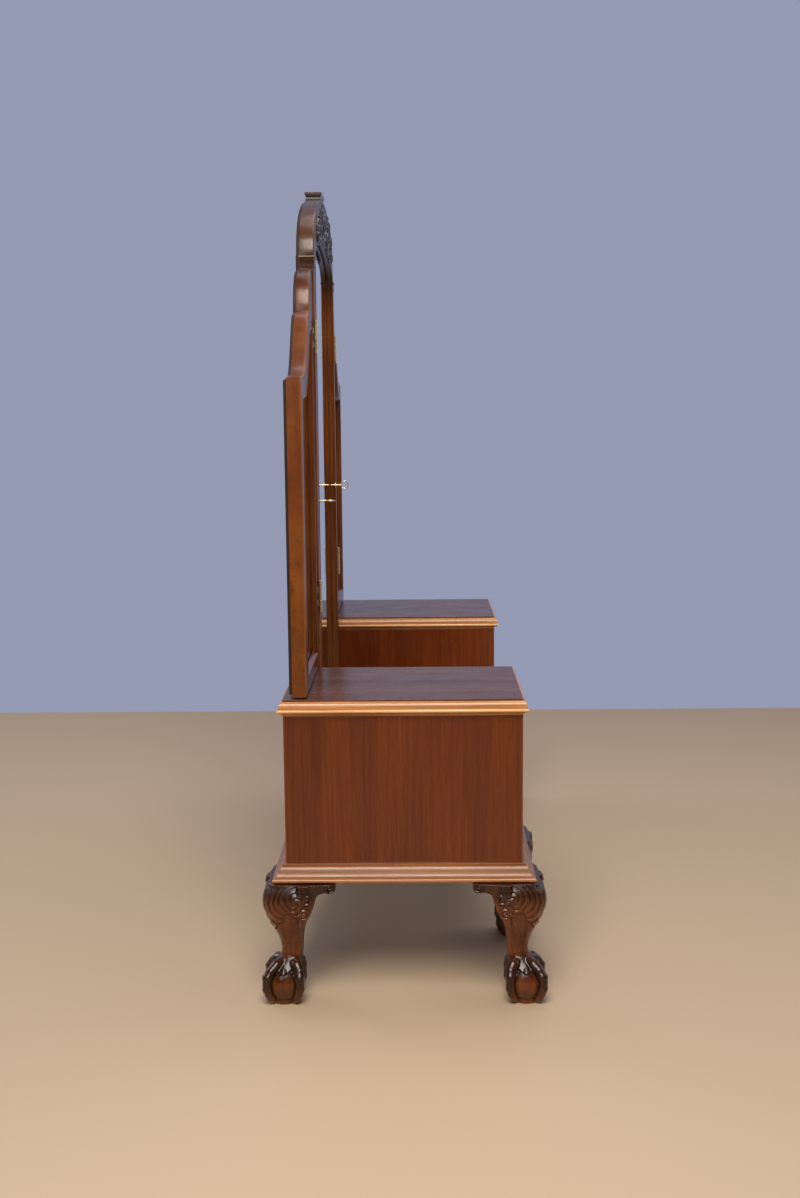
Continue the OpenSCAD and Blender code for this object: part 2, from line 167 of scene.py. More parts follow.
def mixed(nodes, links, factor, a, b, blend="MIX"):
    node = nodes.new("ShaderNodeMix")
    node.data_type = "RGBA"
    node.blend_type = blend
    for name, value in (("Factor", factor), ("A", a), ("B", b)):
        socket = [s for s in node.inputs if s.name == name and (s.type == "RGBA") == (name != "Factor")][0]
        if isinstance(value, (int, float)):
            socket.default_value = value
        elif isinstance(value, tuple):
            socket.default_value = (*value, 1)
        else:
            links.new(value, socket)
    return [s for s in node.outputs if s.type == "RGBA"][0]


def attribute(nodes, name):
    node = nodes.new("ShaderNodeAttribute")
    node.attribute_name = name
    return node


def grained(nodes, links, axis, squeeze, scale, detail=3.0, distortion=0.0, rough=0.55):
    """Noise drawn out along the grain. axis is None where the mesh carries its own grain coordinates."""
    mapping = nodes.new("ShaderNodeMapping")
    if axis is None:
        links.new(attribute(nodes, "grain").outputs["Vector"], mapping.inputs["Vector"])
        mapping.inputs["Scale"].default_value = (squeeze, 1, 1)
    else:
        links.new(nodes.new("ShaderNodeTexCoord").outputs["Object"], mapping.inputs["Vector"])
        mapping.inputs["Scale"].default_value = tuple(squeeze if a == axis else 1 for a in "XYZ")
    noise = add(nodes, "ShaderNodeTexNoise", Scale=scale, Detail=detail, Distortion=distortion, Roughness=rough)
    links.new(mapping.outputs["Vector"], noise.inputs["Vector"])
    return noise.outputs["Fac"]


def wood(name, dark, mid, light, axis=None, gloss=0.30, figure=1.0, carved=False, coat=0.3):
    """Polished timber: broad bands, fine streaks, pores, worn edges and, where carved is set, painted shade: the colour
    is mixed towards near-black by a stored attribute.
    """
    mat, nodes, links, shader = new_material(name)
    bands = grained(nodes, links, axis, 0.10, 13.0, 3.0, 0.5 * figure)
    streaks = grained(nodes, links, axis, 0.030, 150.0, 4.0)
    fine = grained(nodes, links, axis, 0.040, 520.0, 3.0)
    pores = grained(nodes, links, axis, 0.060, 1300.0, 2.0)
    cloud = grained(nodes, links, axis, 0.45, 5.0, 2.0, 0.6)
    both = sum_of(nodes, links, sum_of(nodes, links, bands, 0.40, "MULTIPLY"),
                  sum_of(nodes, links, sum_of(nodes, links, streaks, 0.35, "MULTIPLY"),
                         sum_of(nodes, links, fine, 0.25, "MULTIPLY")))
    colour = mixed(nodes, links, spread(nodes, links, both, 0.38, 0.50), dark, mid)
    colour = mixed(nodes, links, spread(nodes, links, both, 0.50, 0.62), colour, light)
    colour = mixed(nodes, links, spread(nodes, links, cloud, 0.35, 0.75, 0.0, 0.28), colour,
                   tuple(c * 0.5 for c in mid))
    pore = spread(nodes, links, pores, 0.58, 0.70)
    fleck = spread(nodes, links, fine, 0.60, 0.72)
    colour = mixed(nodes, links, sum_of(nodes, links, pore, 0.40, "MULTIPLY"), colour,
                   tuple(c * 0.4 for c in dark))
    colour = mixed(nodes, links, sum_of(nodes, links, fleck, 0.55, "MULTIPLY"), colour,
                   tuple(c * 0.5 for c in dark))
    worn = sum_of(nodes, links, attribute(nodes, "wear").outputs["Fac"],
                  spread(nodes, links, cloud, 0.3, 0.6, 0.35, 1.0), "MULTIPLY")
    colour = mixed(nodes, links, worn, colour, tuple(min(1.0, c * 1.5 + 0.02) for c in light))
    if carved:
        # painted shade: the colour is mixed towards near-black where the stored shade attribute says so
        painted_shade = attribute(nodes, "painted_shade").outputs["Fac"]
        colour = mixed(nodes, links, painted_shade, colour, (0.003, 0.0015, 0.001))
    links.new(colour, shader.inputs["Base Color"])
    smear = add(nodes, "ShaderNodeTexNoise", Scale=7.0, Detail=3.0)
    roughness = sum_of(nodes, links, spread(nodes, links, smear.outputs["Fac"], 0.3, 0.7, gloss, gloss + 0.12),
                       sum_of(nodes, links, pore, 0.15, "MULTIPLY"))
    links.new(roughness, shader.inputs["Roughness"])
    shader.inputs["Coat Weight"].default_value = coat
    shader.inputs["Coat Roughness"].default_value = 0.16
    shader.inputs["Specular IOR Level"].default_value = 0.32
    height = sum_of(nodes, links, sum_of(nodes, links, streaks, 0.4, "MULTIPLY"), pore, "SUBTRACT")
    bump = add(nodes, "ShaderNodeBump", Strength=0.05, Distance=0.0005)
    links.new(height, bump.inputs["Height"])
    links.new(bump.outputs["Normal"], shader.inputs["Normal"])
    return mat


def brass(name="brass", base=(0.93, 0.74, 0.46)):
    """Polished brass, browned in soft patches."""
    mat, nodes, links, shader = new_material(name)
    patches = add(nodes, "ShaderNodeTexNoise", Scale=55.0, Detail=5.0, Roughness=0.6)
    links.new(nodes.new("ShaderNodeTexCoord").outputs["Object"], patches.inputs["Vector"])
    links.new(tone(nodes, links, patches.outputs["Fac"], base, tuple(c * 0.55 for c in base), 0.50, 0.80),
              shader.inputs["Base Color"])
    shader.inputs["Metallic"].default_value = 1.0
    links.new(spread(nodes, links, patches.outputs["Fac"], 0.3, 0.8, 0.24, 0.46), shader.inputs["Roughness"])
    bump = add(nodes, "ShaderNodeBump", Strength=0.15, Distance=0.0003)
    links.new(patches.outputs["Fac"], bump.inputs["Height"])
    links.new(bump.outputs["Normal"], shader.inputs["Normal"])
    return mat


def steel():
    mat, nodes, links, shader = new_material("screw_steel")
    scratch = add(nodes, "ShaderNodeTexNoise", Scale=900.0, Detail=3.0)
    links.new(tone(nodes, links, scratch.outputs["Fac"], (0.32, 0.31, 0.30), (0.5, 0.5, 0.5)),
              shader.inputs["Base Color"])
    shader.inputs["Metallic"].default_value = 1.0
    links.new(spread(nodes, links, scratch.outputs["Fac"], 0.3, 0.7, 0.3, 0.5), shader.inputs["Roughness"])
    return mat


def mirror_silver():
    """Old plate mirror: silver that is a little smeared, and foxed here and there."""
    mat, nodes, links, shader = new_material("mirror_silver")
    specks = add(nodes, "ShaderNodeTexNoise", Scale=160.0, Detail=4.0)
    patch = add(nodes, "ShaderNodeTexNoise", Scale=6.0, Detail=2.0)
    place = nodes.new("ShaderNodeTexCoord").outputs["Object"]
    links.new(place, specks.inputs["Vector"])
    links.new(place, patch.inputs["Vector"])
    spots = sum_of(nodes, links, spread(nodes, links, specks.outputs["Fac"], 0.66, 0.74),
                   spread(nodes, links, patch.outputs["Fac"], 0.55, 0.7), "MULTIPLY")
    links.new(mixed(nodes, links, spots, (0.83, 0.86, 0.88), (0.30, 0.29, 0.27)), shader.inputs["Base Color"])
    shader.inputs["Metallic"].default_value = 1.0
    links.new(spread(nodes, links, patch.outputs["Fac"], 0.3, 0.8, 0.012, 0.05), shader.inputs["Roughness"])
    return mat


# ---------------------------------------------------------------- mesh helpers

def mesh_object(name, points, faces):
    mesh = bpy.data.meshes.new(name)
    mesh.from_pydata([tuple(p) for p in points], [], [tuple(int(i) for i in f) for f in faces])
    mesh.update()
    obj = bpy.data.objects.new(name, mesh)
    bpy.context.scene.collection.objects.link(obj)
    return obj


def smooth(obj, degrees=35):
    """Smooth shading that keeps edges sharper than the angle."""
    obj.data.polygons.foreach_set("use_smooth", [True] * len(obj.data.polygons))
    obj.data.set_sharp_from_angle(angle=math.radians(degrees))


def face_outward(obj):
    bm = bmesh.new()
    bm.from_mesh(obj.data)
    bmesh.ops.recalc_face_normals(bm, faces=bm.faces)
    bm.to_mesh(obj.data)
    bm.free()


def store(obj, name, values):
    """Keeps one number, or one vector, for each vertex."""
    values = np.asarray(values, np.float32)
    kind = "FLOAT_VECTOR" if values.ndim == 2 else "FLOAT"
    layer = obj.data.attributes.get(name) or obj.data.attributes.new(name, kind, "POINT")
    layer.data.foreach_set("vector" if values.ndim == 2 else "value", values.ravel())


def points_of(obj):
    co = np.empty(len(obj.data.vertices) * 3, np.float32)
    obj.data.vertices.foreach_get("co", co)
    return co.reshape(-1, 3)


def grain_along(obj, axis, offset=0.0):
    """Grain coordinates that run along one row axis, moved so that no two boards match."""
    order = {"X": (0, 1, 2), "Y": (1, 2, 0), "Z": (2, 0, 1)}[axis]
    store(obj, "grain", points_of(obj)[:, order] + np.float32(offset))


def finish_piece(obj, body, material, slot, *nodes):
    """Gives a piece its material and body, and hides the CAD nodes that it stands for. slot is not used."""
    obj.data.materials.append(material)
    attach(obj, body)
    if nodes:
        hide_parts(*nodes)
    return obj


def board(name, lo, hi, axis, edge=0.8 * MM, wear_band=5 * MM):
    """A planed board with softened, slightly worn edges. axis is the way its grain runs."""
    bm = bmesh.new()
    bmesh.ops.create_cube(bm, size=1)
    size = Vector(hi) - Vector(lo)
    bmesh.ops.transform(bm, matrix=Matrix.Translation((Vector(lo) + Vector(hi)) / 2) @ Matrix.Diagonal((*size, 1)),
                        verts=bm.verts)
    bmesh.ops.bevel(bm, geom=bm.edges, offset=edge, segments=3, profile=0.5, affect="EDGES")
    wide = sorted(bm.faces, key=lambda f: -f.calc_area())[:6]
    bmesh.ops.inset_individual(bm, faces=wide, thickness=min(wear_band, min(size) / 3))
    bm.verts.index_update()
    calm = {v.index for f in wide for v in f.verts}
    obj = object_from(bm, name)
    store(obj, "wear", [0.0 if i in calm else 0.5 for i in range(len(obj.data.vertices))])
    grain_along(obj, axis, hi[0] * 3 + lo[2])
    smooth(obj, 50)
    return obj


def object_from(bm, name):
    """Turns a bmesh into an object."""
    mesh = bpy.data.meshes.new(name)
    bm.to_mesh(mesh)
    bm.free()
    obj = bpy.data.objects.new(name, mesh)
    bpy.context.scene.collection.objects.link(obj)
    return obj


def joined(name, parts):
    """Joins separate solids into one piece, with their stored attributes."""
    with bpy.context.temp_override(object=parts[0], active_object=parts[0], selected_objects=parts,
                                   selected_editable_objects=parts):
        bpy.ops.object.join()
    parts[0].name = name
    return parts[0]


def turned(name, profile, base, axis, sides=24):
    """A lathe-turned solid. profile is (radius, distance from base along axis)."""
    along = Vector(axis).normalized()
    u = along.orthogonal().normalized()
    v = along.cross(u)
    points, faces = [], []
    for r, d in profile:
        for k in range(sides):
            a = 2 * math.pi * k / sides
            points.append(Vector(base) + along * d + (u * math.cos(a) + v * math.sin(a)) * max(r, 0.02 * MM))
    for i in range(len(profile) - 1):
        for k in range(sides):
            a, b = i * sides + k, i * sides + (k + 1) % sides
            faces.append((a, b, b + sides, a + sides))
    faces += [tuple(range(sides))[::-1], tuple(range((len(profile) - 1) * sides, len(profile) * sides))]
    obj = mesh_object(name, points, faces)
    face_outward(obj)
    smooth(obj, 40)
    return obj


def tube(name, path, radii, closed=False, sides=14):
    """A round bar bent along a path."""
    path = [Vector(p) for p in path]
    n = len(path)
    points, faces = [], []
    side = None
    for i, p in enumerate(path):
        a = path[i - 1] if closed or i else p
        b = path[(i + 1) % n] if closed or i < n - 1 else p
        along = (b - a).normalized()
        side = along.orthogonal() if side is None else side - along * side.dot(along)
        side.normalize()
        other = along.cross(side)
        r = radii[i] if isinstance(radii, list) else radii
        points += [p + (side * math.cos(t) + other * math.sin(t)) * r
                   for t in (2 * math.pi * k / sides for k in range(sides))]
    for i in range(n if closed else n - 1):
        for k in range(sides):
            a, b = i * sides, (i + 1) % n * sides
            faces.append((a + k, a + (k + 1) % sides, b + (k + 1) % sides, b + k))
    if not closed:
        faces += [tuple(range(sides))[::-1], tuple(range((n - 1) * sides, n * sides))]
    obj = mesh_object(name, points, faces)
    face_outward(obj)
    smooth(obj, 50)
    return obj


def rounded(points, radius, steps=5):
    """A path with each inner corner taken round."""
    points = [Vector(p) for p in points]
    out = [points[0]]
    for a, b, c in zip(points, points[1:], points[2:]):
        cut = min(radius, (a - b).length / 2, (c - b).length / 2)
        start, end = b + (a - b).normalized() * cut, b + (c - b).normalized() * cut
        out += [start.lerp(b, t).lerp(b.lerp(end, t), t) for t in (i / steps for i in range(steps + 1))]
    return out + [points[-1]]


def plate(name, outline, face, back, bevel):
    """A thin plate facing -y with a bevelled front edge. outline is (x, z) points."""
    rings = [(0.0, back), (0.0, face + bevel), (bevel * 0.3, face + bevel * 0.3), (bevel, face)]
    n = len(outline)
    points = [(x, y, z) for s, y in rings for x, z in offset_inward(outline, s)]
    faces = [(r * n + i, r * n + (i + 1) % n, (r + 1) * n + (i + 1) % n, (r + 1) * n + i)
             for r in range(len(rings) - 1) for i in range(n)]
    faces += [tuple(range(n))[::-1], tuple(range((len(rings) - 1) * n, len(rings) * n))]
    obj = mesh_object(name, points, faces)
    face_outward(obj)
    smooth(obj, 30)
    return obj


def screw_head(name, centre, normal, radius):
    """A domed screw head with a slot across it."""
    head = turned(name, [(radius * math.cos(a), 0.45 * radius * math.sin(a) - 0.1 * MM)
                         for a in (math.pi / 2 * i / 6 for i in range(7))], centre, normal, 20)
    slot = bmesh.new()
    bmesh.ops.create_cube(slot, size=1)
    turn = Vector(normal).to_track_quat("Z", "Y").to_matrix().to_4x4()
    place = Matrix.Translation(Vector(centre) + Vector(normal) * 0.42 * radius)
    bmesh.ops.transform(slot, matrix=place @ turn @ Matrix.Diagonal((0.3 * radius, 3 * radius, 0.5 * radius, 1)),
                        verts=slot.verts)
    tool = object_from(slot, "cutter")
    cut = head.modifiers.new("cut", "BOOLEAN")
    cut.operation, cut.solver, cut.object = "DIFFERENCE", "EXACT", tool
    with bpy.context.temp_override(object=head, active_object=head, selected_objects=[head]):
        bpy.ops.object.modifier_apply(modifier="cut")
    bpy.data.objects.remove(tool)
    return head


def sweep(name, path, profile, closed, z0):
    """A moulding along a path in plan, mitred at its corners. profile is (out, up); out is to the path's right."""
    path = [Vector(p) for p in path]
    n = len(path)
    spokes = []
    for i, p in enumerate(path):
        before = (p - path[i - 1]).normalized() if closed or i else None
        after = (path[(i + 1) % n] - p).normalized() if closed or i < n - 1 else None
        a = before if before is not None else after
        b = after if after is not None else before
        na, nb = Vector((a.y, -a.x)), Vector((b.y, -b.x))
        spokes.append((na + nb) / (1 + na.dot(nb)))
    points, grain, wear, faces, run = [], [], [], [], 0.0
    m = len(profile)
    arc = [0.0]
    for a, b in zip(profile, profile[1:]):
        arc.append(arc[-1] + math.dist(a, b))
    top = max(q[0] for q in profile)
    count = n + 1 if closed else n
    edges = []
    for k in range(n if closed else n - 1):
        a, b = k, (k + 1) % n
        length = (path[b] - path[a]).length
        base = len(points)
        steps = max(2, int(length / 0.04))
        for s in range(steps + 1):
            t = s / steps
            for j, (out, up) in enumerate(profile):
                pa = path[a] + spokes[a] * out
                pb = path[b] + spokes[b] * out
                q = pa.lerp(pb, t)
                points.append((q.x, q.y, z0 + up))
                grain.append((t * length + k * 1.7, arc[j], k * 0.31 + z0))
                wear.append(0.55 if 0 < j < m - 1 and out > top - 1.5 * MM else 0.0)
        for s in range(steps):
            for j in range(m - 1):
                i0 = base + s * m + j
                faces.append((i0, i0 + m, i0 + m + 1, i0 + 1))
        edges.append((base, base + steps * m))
    if not closed:
        faces.append(tuple(range(edges[0][0], edges[0][0] + m)))
        faces.append(tuple(range(edges[-1][1] + m - 1, edges[-1][1] - 1, -1)))
    obj = mesh_object(name, points, faces)
    store(obj, "grain", grain)
    store(obj, "wear", wear)
    face_outward(obj)
    smooth(obj, 40)
    return obj


# ---------------------------------------------------------------- outlines of the mirrors

C_LO, C_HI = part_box("centre_frame")
CG_LO, CG_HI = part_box("centre_glass")
CB_LO, CB_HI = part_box("centre_backboard")
W_LO, W_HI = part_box("right_wing_frame")
SHOULDER_PROUD = 3 * MM
FACE_Y = C_LO.y + SHOULDER_PROUD
WING_FACE_Y = W_LO.y
BACK_Y = W_HI.y
GLASS_Y = CG_LO.y
HALF = C_HI.x - SHOULDER_PROUD
WING_W = W_HI.x - W_LO.x
ARCH_Z = C_HI.z
SHOULDER_Z = ARCH_Z - 174 * MM
ARCH_FOOT = SHOULDER_Z + 30 * MM
OPENING_FOOT = SHOULDER_Z + 7 * MM
LEDGE = 13.6 * MM
STILE = 46 * MM
WING_RAIL = 40 * MM
REBATE = 7 * MM
CORNER_Z = ARCH_Z - 404 * MM
HINGE_LEN = 69 * MM
KNUCKLE_R = 4 * MM


def run_between(a, b, n):
    """n points from a up to, but not at, b."""
    return [(a[0] + (b[0] - a[0]) * i / n, a[1] + (b[1] - a[1]) * i / n) for i in range(n)]


def oval_run(centre, rx, ry, a0, a1, n):
    """n points round an ellipse from one angle up to, but not at, another."""
    turns = [math.radians(a0 + (a1 - a0) * i / n) for i in range(n)]
    return [(centre[0] + rx * math.cos(a), centre[1] + ry * math.sin(a)) for a in turns]


def cyma_run(a, b, n, lag=1.25):
    """n points down an S-curve from its top, b, to, but not at, its foot, a."""
    steps = [1 - i / n for i in range(n)]
    return [(a[0] + (b[0] - a[0]) * t, a[1] + (b[1] - a[1]) * (1 - math.cos(math.pi * t ** lag)) / 2)
            for t in steps]


def centre_half_runs(inner):
    """Right half of the centre mirror's outline, or of its opening, in matched runs with their grain."""
    if inner:
        side, foot = HALF - STILE, OPENING_FOOT
        arch = oval_run((0, foot), side, 72 * MM, 90, 0, 44)
        ledge = run_between((side, foot), (side, foot - 10 * MM), 4)
        top, floor_z = (side, foot - 10 * MM), C_LO.z + STILE
    else:
        side, foot = HALF, ARCH_FOOT
        arch = oval_run((0, foot), side - LEDGE, ARCH_Z - foot, 90, 0, 44)
        ledge = run_between((side - LEDGE, foot), (side, foot), 4)
        top, floor_z = (side, foot), C_LO.z
    return [arch + ledge, run_between(top, (side, floor_z), 26), run_between((side, floor_z), (0, floor_z), 10)]


def centre_outline(inner):
    """Closed outline and, for each step along it, which member of the frame it belongs to."""
    runs = centre_half_runs(inner)
    half = [p for run in runs for p in run]
    points = half + [(0, half[-1][1])] + [(-x, z) for x, z in half[:0:-1]]
    members = [k for k, run in enumerate(runs) for p in run]
    return points, members + [4 if k == 1 else k for k in members[::-1]]


def wing_outline(inner):
    """Closed outline of a wing, or of its opening, x out from its hinged edge, and each step's member."""
    if inner:
        top, foot, floor_z = CORNER_Z + 94 * MM, CORNER_Z - 42 * MM, W_LO.z + WING_RAIL
        near, far = STILE, WING_W - STILE
        head = (run_between((near, top), (62 * MM, top), 24) + cyma_run((252 * MM, foot), (62 * MM, top), 34)
                + run_between((252 * MM, foot), (far, foot - 4 * MM), 6))
        low, high = foot - 4 * MM, top
    else:
        foot, high, floor_z = CORNER_Z + 137 * MM, SHOULDER_Z - 3 * MM, W_LO.z
        near, far = 0, WING_W
        ledge = (104 * MM, CORNER_Z + 133 * MM)
        shoulder = (262 * MM, CORNER_Z + 6 * MM)
        head = (oval_run((0, foot), 86 * MM, high - foot, 90, 0, 24) + run_between((86 * MM, foot), ledge, 4)
                + cyma_run(shoulder, ledge, 30) + run_between(shoulder, (far, CORNER_Z), 6))
        low = CORNER_Z
    runs = [run_between((near, floor_z), (near, high), 26), head, run_between((far, low), (far, floor_z), 22),
            run_between((far, floor_z), (near, floor_z), 12)]
    return [p for run in runs for p in run], [k for k, run in enumerate(runs) for p in run]


def offset_inward(points, distance):
    """Each point moved in from a closed outline along its own mitre, which is kept short at sharp corners."""
    p = np.array(points)
    before = p - np.roll(p, 1, 0)
    after = np.roll(p, -1, 0) - p
    before /= np.linalg.norm(before, axis=1)[:, None]
    after /= np.linalg.norm(after, axis=1)[:, None]
    area = np.sum(p[:, 0] * np.roll(p, -1, 0)[:, 1] - np.roll(p, -1, 0)[:, 0] * p[:, 1])
    turn = 1 if area > 0 else -1
    na = np.stack([-before[:, 1], before[:, 0]], 1) * turn
    nb = np.stack([-after[:, 1], after[:, 0]], 1) * turn
    moved = p + (na + nb) / np.maximum(1 + np.sum(na * nb, 1), 0.6)[:, None] * distance
    sharp = (before[:, 0] * after[:, 1] - before[:, 1] * after[:, 0]) * turn > 0.6
    for k in np.flatnonzero(sharp) if distance > 0 else []:
        for step, ahead in ((1, after[k]), (-1, -before[k])):
            j = (k + step) % len(p)
            while np.dot(moved[j] - moved[k], ahead) <= 0 and np.linalg.norm(p[j] - p[k]) < 2 * distance:
                moved[j] = moved[k]
                j = (j + step) % len(p)
    return moved


# Section of a mirror frame: (in from an edge, proud of its face), in millimetres
OUTER_EDGE = [(0, -5.0), (0, -2.6), (0.35, -1.4), (1.2, -0.5), (2.4, -0.05), (3.6, 0.0), (5.2, 0.0), (5.5, -0.7),
              (6.1, -0.8), (6.6, -0.1), (7.6, 0.0)]
INNER_EDGE = [(11.5, 0.0), (11.0, -0.5), (10.4, -0.6), (9.9, 0.2), (9.0, 0.9), (7.8, 1.1), (6.4, 0.8), (5.4, 0.0),
              (4.6, -1.6), (3.2, -3.4), (1.6, -5.2), (0.6, -7.4), (0, -9.0)]


# Painted shade on the mirror frames: darker towards their tops, starting 60 mm below the shoulders and rising over 80
# mm.
FRAME_PAINTED_SHADE = 0.68
PAINTED_SHADE_FROM = SHOULDER_Z - 60 * MM
PAINTED_SHADE_RISE = 80 * MM


def mirror_frame(name, outline, place, face_y, sides, material, cad, body):
    """A moulded frame: its two worked edges, the flat between them, and the rebate and back."""
    outer, members = outline(False)
    inner = outline(True)[0]
    rings = [(offset_inward(inner, -REBATE), BACK_Y), (offset_inward(outer, 2 * MM), BACK_Y),
             (offset_inward(outer, 0.4 * MM), BACK_Y - 0.5 * MM), (np.array(outer), BACK_Y - 2 * MM)]
    first_outer = len(rings)
    rings += [(offset_inward(outer, s * MM), face_y - up * MM) for s, up in OUTER_EDGE]
    a = offset_inward(outer, OUTER_EDGE[-1][0] * MM)
    b = offset_inward(inner, -INNER_EDGE[0][0] * MM)
    rings += [(a + (b - a) * t, face_y) for t in (0.34, 0.67)]
    first_inner = len(rings)
    deep = (GLASS_Y - face_y) / (9.0 * MM)
    rings += [(offset_inward(inner, -s * MM), face_y - (up * MM if up > 0 else up * MM * deep))
              for s, up in INNER_EDGE]
    rings += [(offset_inward(inner, -REBATE), GLASS_Y)]
    n = len(outer)
    points = [place(x, y, z) for ring, y in rings for x, z in ring]
    wear = [0.5 if r in (first_outer + 2, first_outer + 3, first_inner + 4, first_inner + 5) else 0.0
            for r in range(len(rings)) for i in range(n)]
    faces = [(r * n + i, r * n + (i + 1) % n, (r + 1) % len(rings) * n + (i + 1) % n, (r + 1) % len(rings) * n + i)
             for r in range(len(rings)) for i in range(n)]
    obj = mesh_object(name, points, faces)
    face_outward(obj)
    grain_round(obj, [p for p, y in rings], members, name)
    store(obj, "wear", wear)
    # painted shade: the frame darkens the higher it stands
    store(obj, "painted_shade", FRAME_PAINTED_SHADE * np.clip((points_of(obj)[:, 2] - PAINTED_SHADE_FROM) / PAINTED_SHADE_RISE, 0, 1))
    drop_slivers(obj)
    hinge_recesses(obj, sides)
    smooth(obj, 38)
    return finish_piece(obj, body, material, "mahogany", cad)


def drop_slivers(obj):
    """Removes the faces of no area that are left where points run together at a corner."""
    bm = bmesh.new()
    bm.from_mesh(obj.data)
    bmesh.ops.dissolve_degenerate(bm, dist=1e-6, edges=bm.edges)
    bm.to_mesh(obj.data)
    bm.free()


def grain_round(obj, rings, members, name):
    """Grain along each member of a frame, kept for each corner of each face so that it breaks at the mitres."""
    n = len(members)
    steps = np.linalg.norm(np.roll(rings[3], -1, 0) - rings[3], axis=1)
    run = np.concatenate([[0], np.cumsum(steps)])
    across = np.cumsum([0] + [float(np.mean(np.linalg.norm(b - a, axis=1))) + 1 * MM for a, b in zip(rings, rings[1:])])
    shift = (sum(map(ord, name)) % 17) * 0.31
    values = []
    for face in obj.data.polygons:
        i = face.index % n
        for v in face.vertices:
            along = run[i] if v % n == i else run[i + 1]
            values += [along + shift + 1.3 * members[i], across[v // n], 0.07 * members[i]]
    obj.data.attributes.new("grain", "FLOAT_VECTOR", "CORNER").data.foreach_set("vector", values)


def hinge_recesses(obj, sides):
    """Cuts the room that the hinge knuckles turn in out of a frame's edge."""
    for s in sides:
        lo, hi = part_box(f"{s}_hinge_fixed_leaves")
        for z in (lo.z + HINGE_LEN / 2, hi.z - HINGE_LEN / 2):
            bm = bmesh.new()
            centre = Vector(((lo.x + hi.x) / 2, lo.y + KNUCKLE_R, z))
            bmesh.ops.create_cone(bm, cap_ends=True, segments=28, radius1=KNUCKLE_R + 0.5 * MM,
                                  radius2=KNUCKLE_R + 0.5 * MM, depth=HINGE_LEN + 1 * MM,
                                  matrix=Matrix.Translation(centre))
            tool = object_from(bm, "cutter")
            cut = obj.modifiers.new("cut", "BOOLEAN")
            cut.operation, cut.solver, cut.object = "DIFFERENCE", "EXACT", tool
            with bpy.context.temp_override(object=obj, active_object=obj, selected_objects=[obj]):
                bpy.ops.object.modifier_apply(modifier="cut")
            bpy.data.objects.remove(tool)


def bevelled_glass(name, outline, place, material, cad, body):
    """Plate mirror with a wide ground bevel round its edge."""
    inner = outline(True)[0]
    lo, hi = GLASS_Y, CG_HI.y
    rings = [(offset_inward(inner, -5.5 * MM), hi), (offset_inward(inner, -5.5 * MM), lo + 1.6 * MM),
             (offset_inward(inner, 13 * MM), lo + 0.1 * MM), (offset_inward(inner, 15 * MM), lo)]
    n = len(inner)
    points = [place(x, y, z) for ring, y in rings for x, z in ring]
    faces = [(r * n + i, r * n + (i + 1) % n, (r + 1) * n + (i + 1) % n, (r + 1) * n + i)
             for r in range(len(rings) - 1) for i in range(n)]
    faces += [tuple(range((len(rings) - 1) * n, len(rings) * n)), tuple(range(n))[::-1]]
    obj = mesh_object(name, points, faces)
    drop_slivers(obj)
    face_outward(obj)
    return finish_piece(obj, body, material, "mirror_glass", cad)


def backboard(name, outline, place, material, cad, body):
    """Thin stained board behind the glass with its back edges rounded over."""
    lo, hi = CB_LO.y, CB_HI.y
    edge = outline(False)[0]
    rings = [(5.0 * MM, lo), (5.0 * MM, hi - 2 * MM), (5.7 * MM, hi - 0.6 * MM), (7.2 * MM, hi)]
    n = len(edge)
    points = [place(x, y, z) for s, y in rings for x, z in offset_inward(edge, s)]
    faces = [(r * n + i, r * n + (i + 1) % n, (r + 1) * n + (i + 1) % n, (r + 1) * n + i)
             for r in range(len(rings) - 1) for i in range(n)]
    faces += [tuple(range(n))[::-1], tuple(range((len(rings) - 1) * n, len(rings) * n))]
    obj = mesh_object(name, points, faces)
    store(obj, "wear", [0.25 if r == 2 else 0.0 for r in range(len(rings)) for i in range(n)])
    grain_along(obj, "Z", hi * 9)
    drop_slivers(obj)
    face_outward(obj)
    smooth(obj, 40)
    return finish_piece(obj, body, material, "backboard", cad)


def shoulder_block(s, material):
    """Moulded block where a wing's top meets the centre mirror."""
    sign = 1 if s == "right" else -1
    out, inside = sign * (HALF + SHOULDER_PROUD - 1 * MM), sign * (HALF + SHOULDER_PROUD - 42 * MM)
    front, back = C_LO.y + 1 * MM, BACK_Y - 1.2 * MM
    path = [(out, back), (inside, back), (inside, front), (out, front)]
    section = [(-16, 0), (-1.6, 0), (-0.7, 0.3), (-0.3, 1.2), (-0.3, 2.6), (-1.0, 3.4), (-1.0, 5), (-1.0, 16.6),
               (-0.2, 18.2), (0.8, 19.2), (1.0, 20.4), (1.0, 21.8), (0.5, 22.8), (-0.4, 23), (-16, 23)]
    block = sweep(f"{s}_shoulder_block", path if sign > 0 else path[::-1], millimetres(section), True, SHOULDER_Z)
    # painted shade: the whole block is darkened as the frame tops are
    store(block, "painted_shade", np.full(len(block.data.vertices), FRAME_PAINTED_SHADE))
    return finish_piece(block, "table", material, "mahogany")


# ---------------------------------------------------------------- carving by distance fields

def blur(field, r):
    """Box average of a 3-D field over 2 r + 1 cells each way."""
    out = field
    for axis in range(3):
        total = np.cumsum(np.concatenate([np.repeat(np.take(out, [0], axis), r + 1, axis), out,
                                          np.repeat(np.take(out, [-1], axis), r, axis)], axis), axis)
        size = out.shape[axis]
        high = np.take(total, range(2 * r + 1, 2 * r + 1 + size), axis)
        out = (high - np.take(total, range(size), axis)) / (2 * r + 1)
    return out


def smin(a, b, k):
    """Smooth union of two distances."""
    h = np.clip(0.5 + 0.5 * (b - a) / k, 0, 1)
    return b + (a - b) * h - k * h * (1 - h)


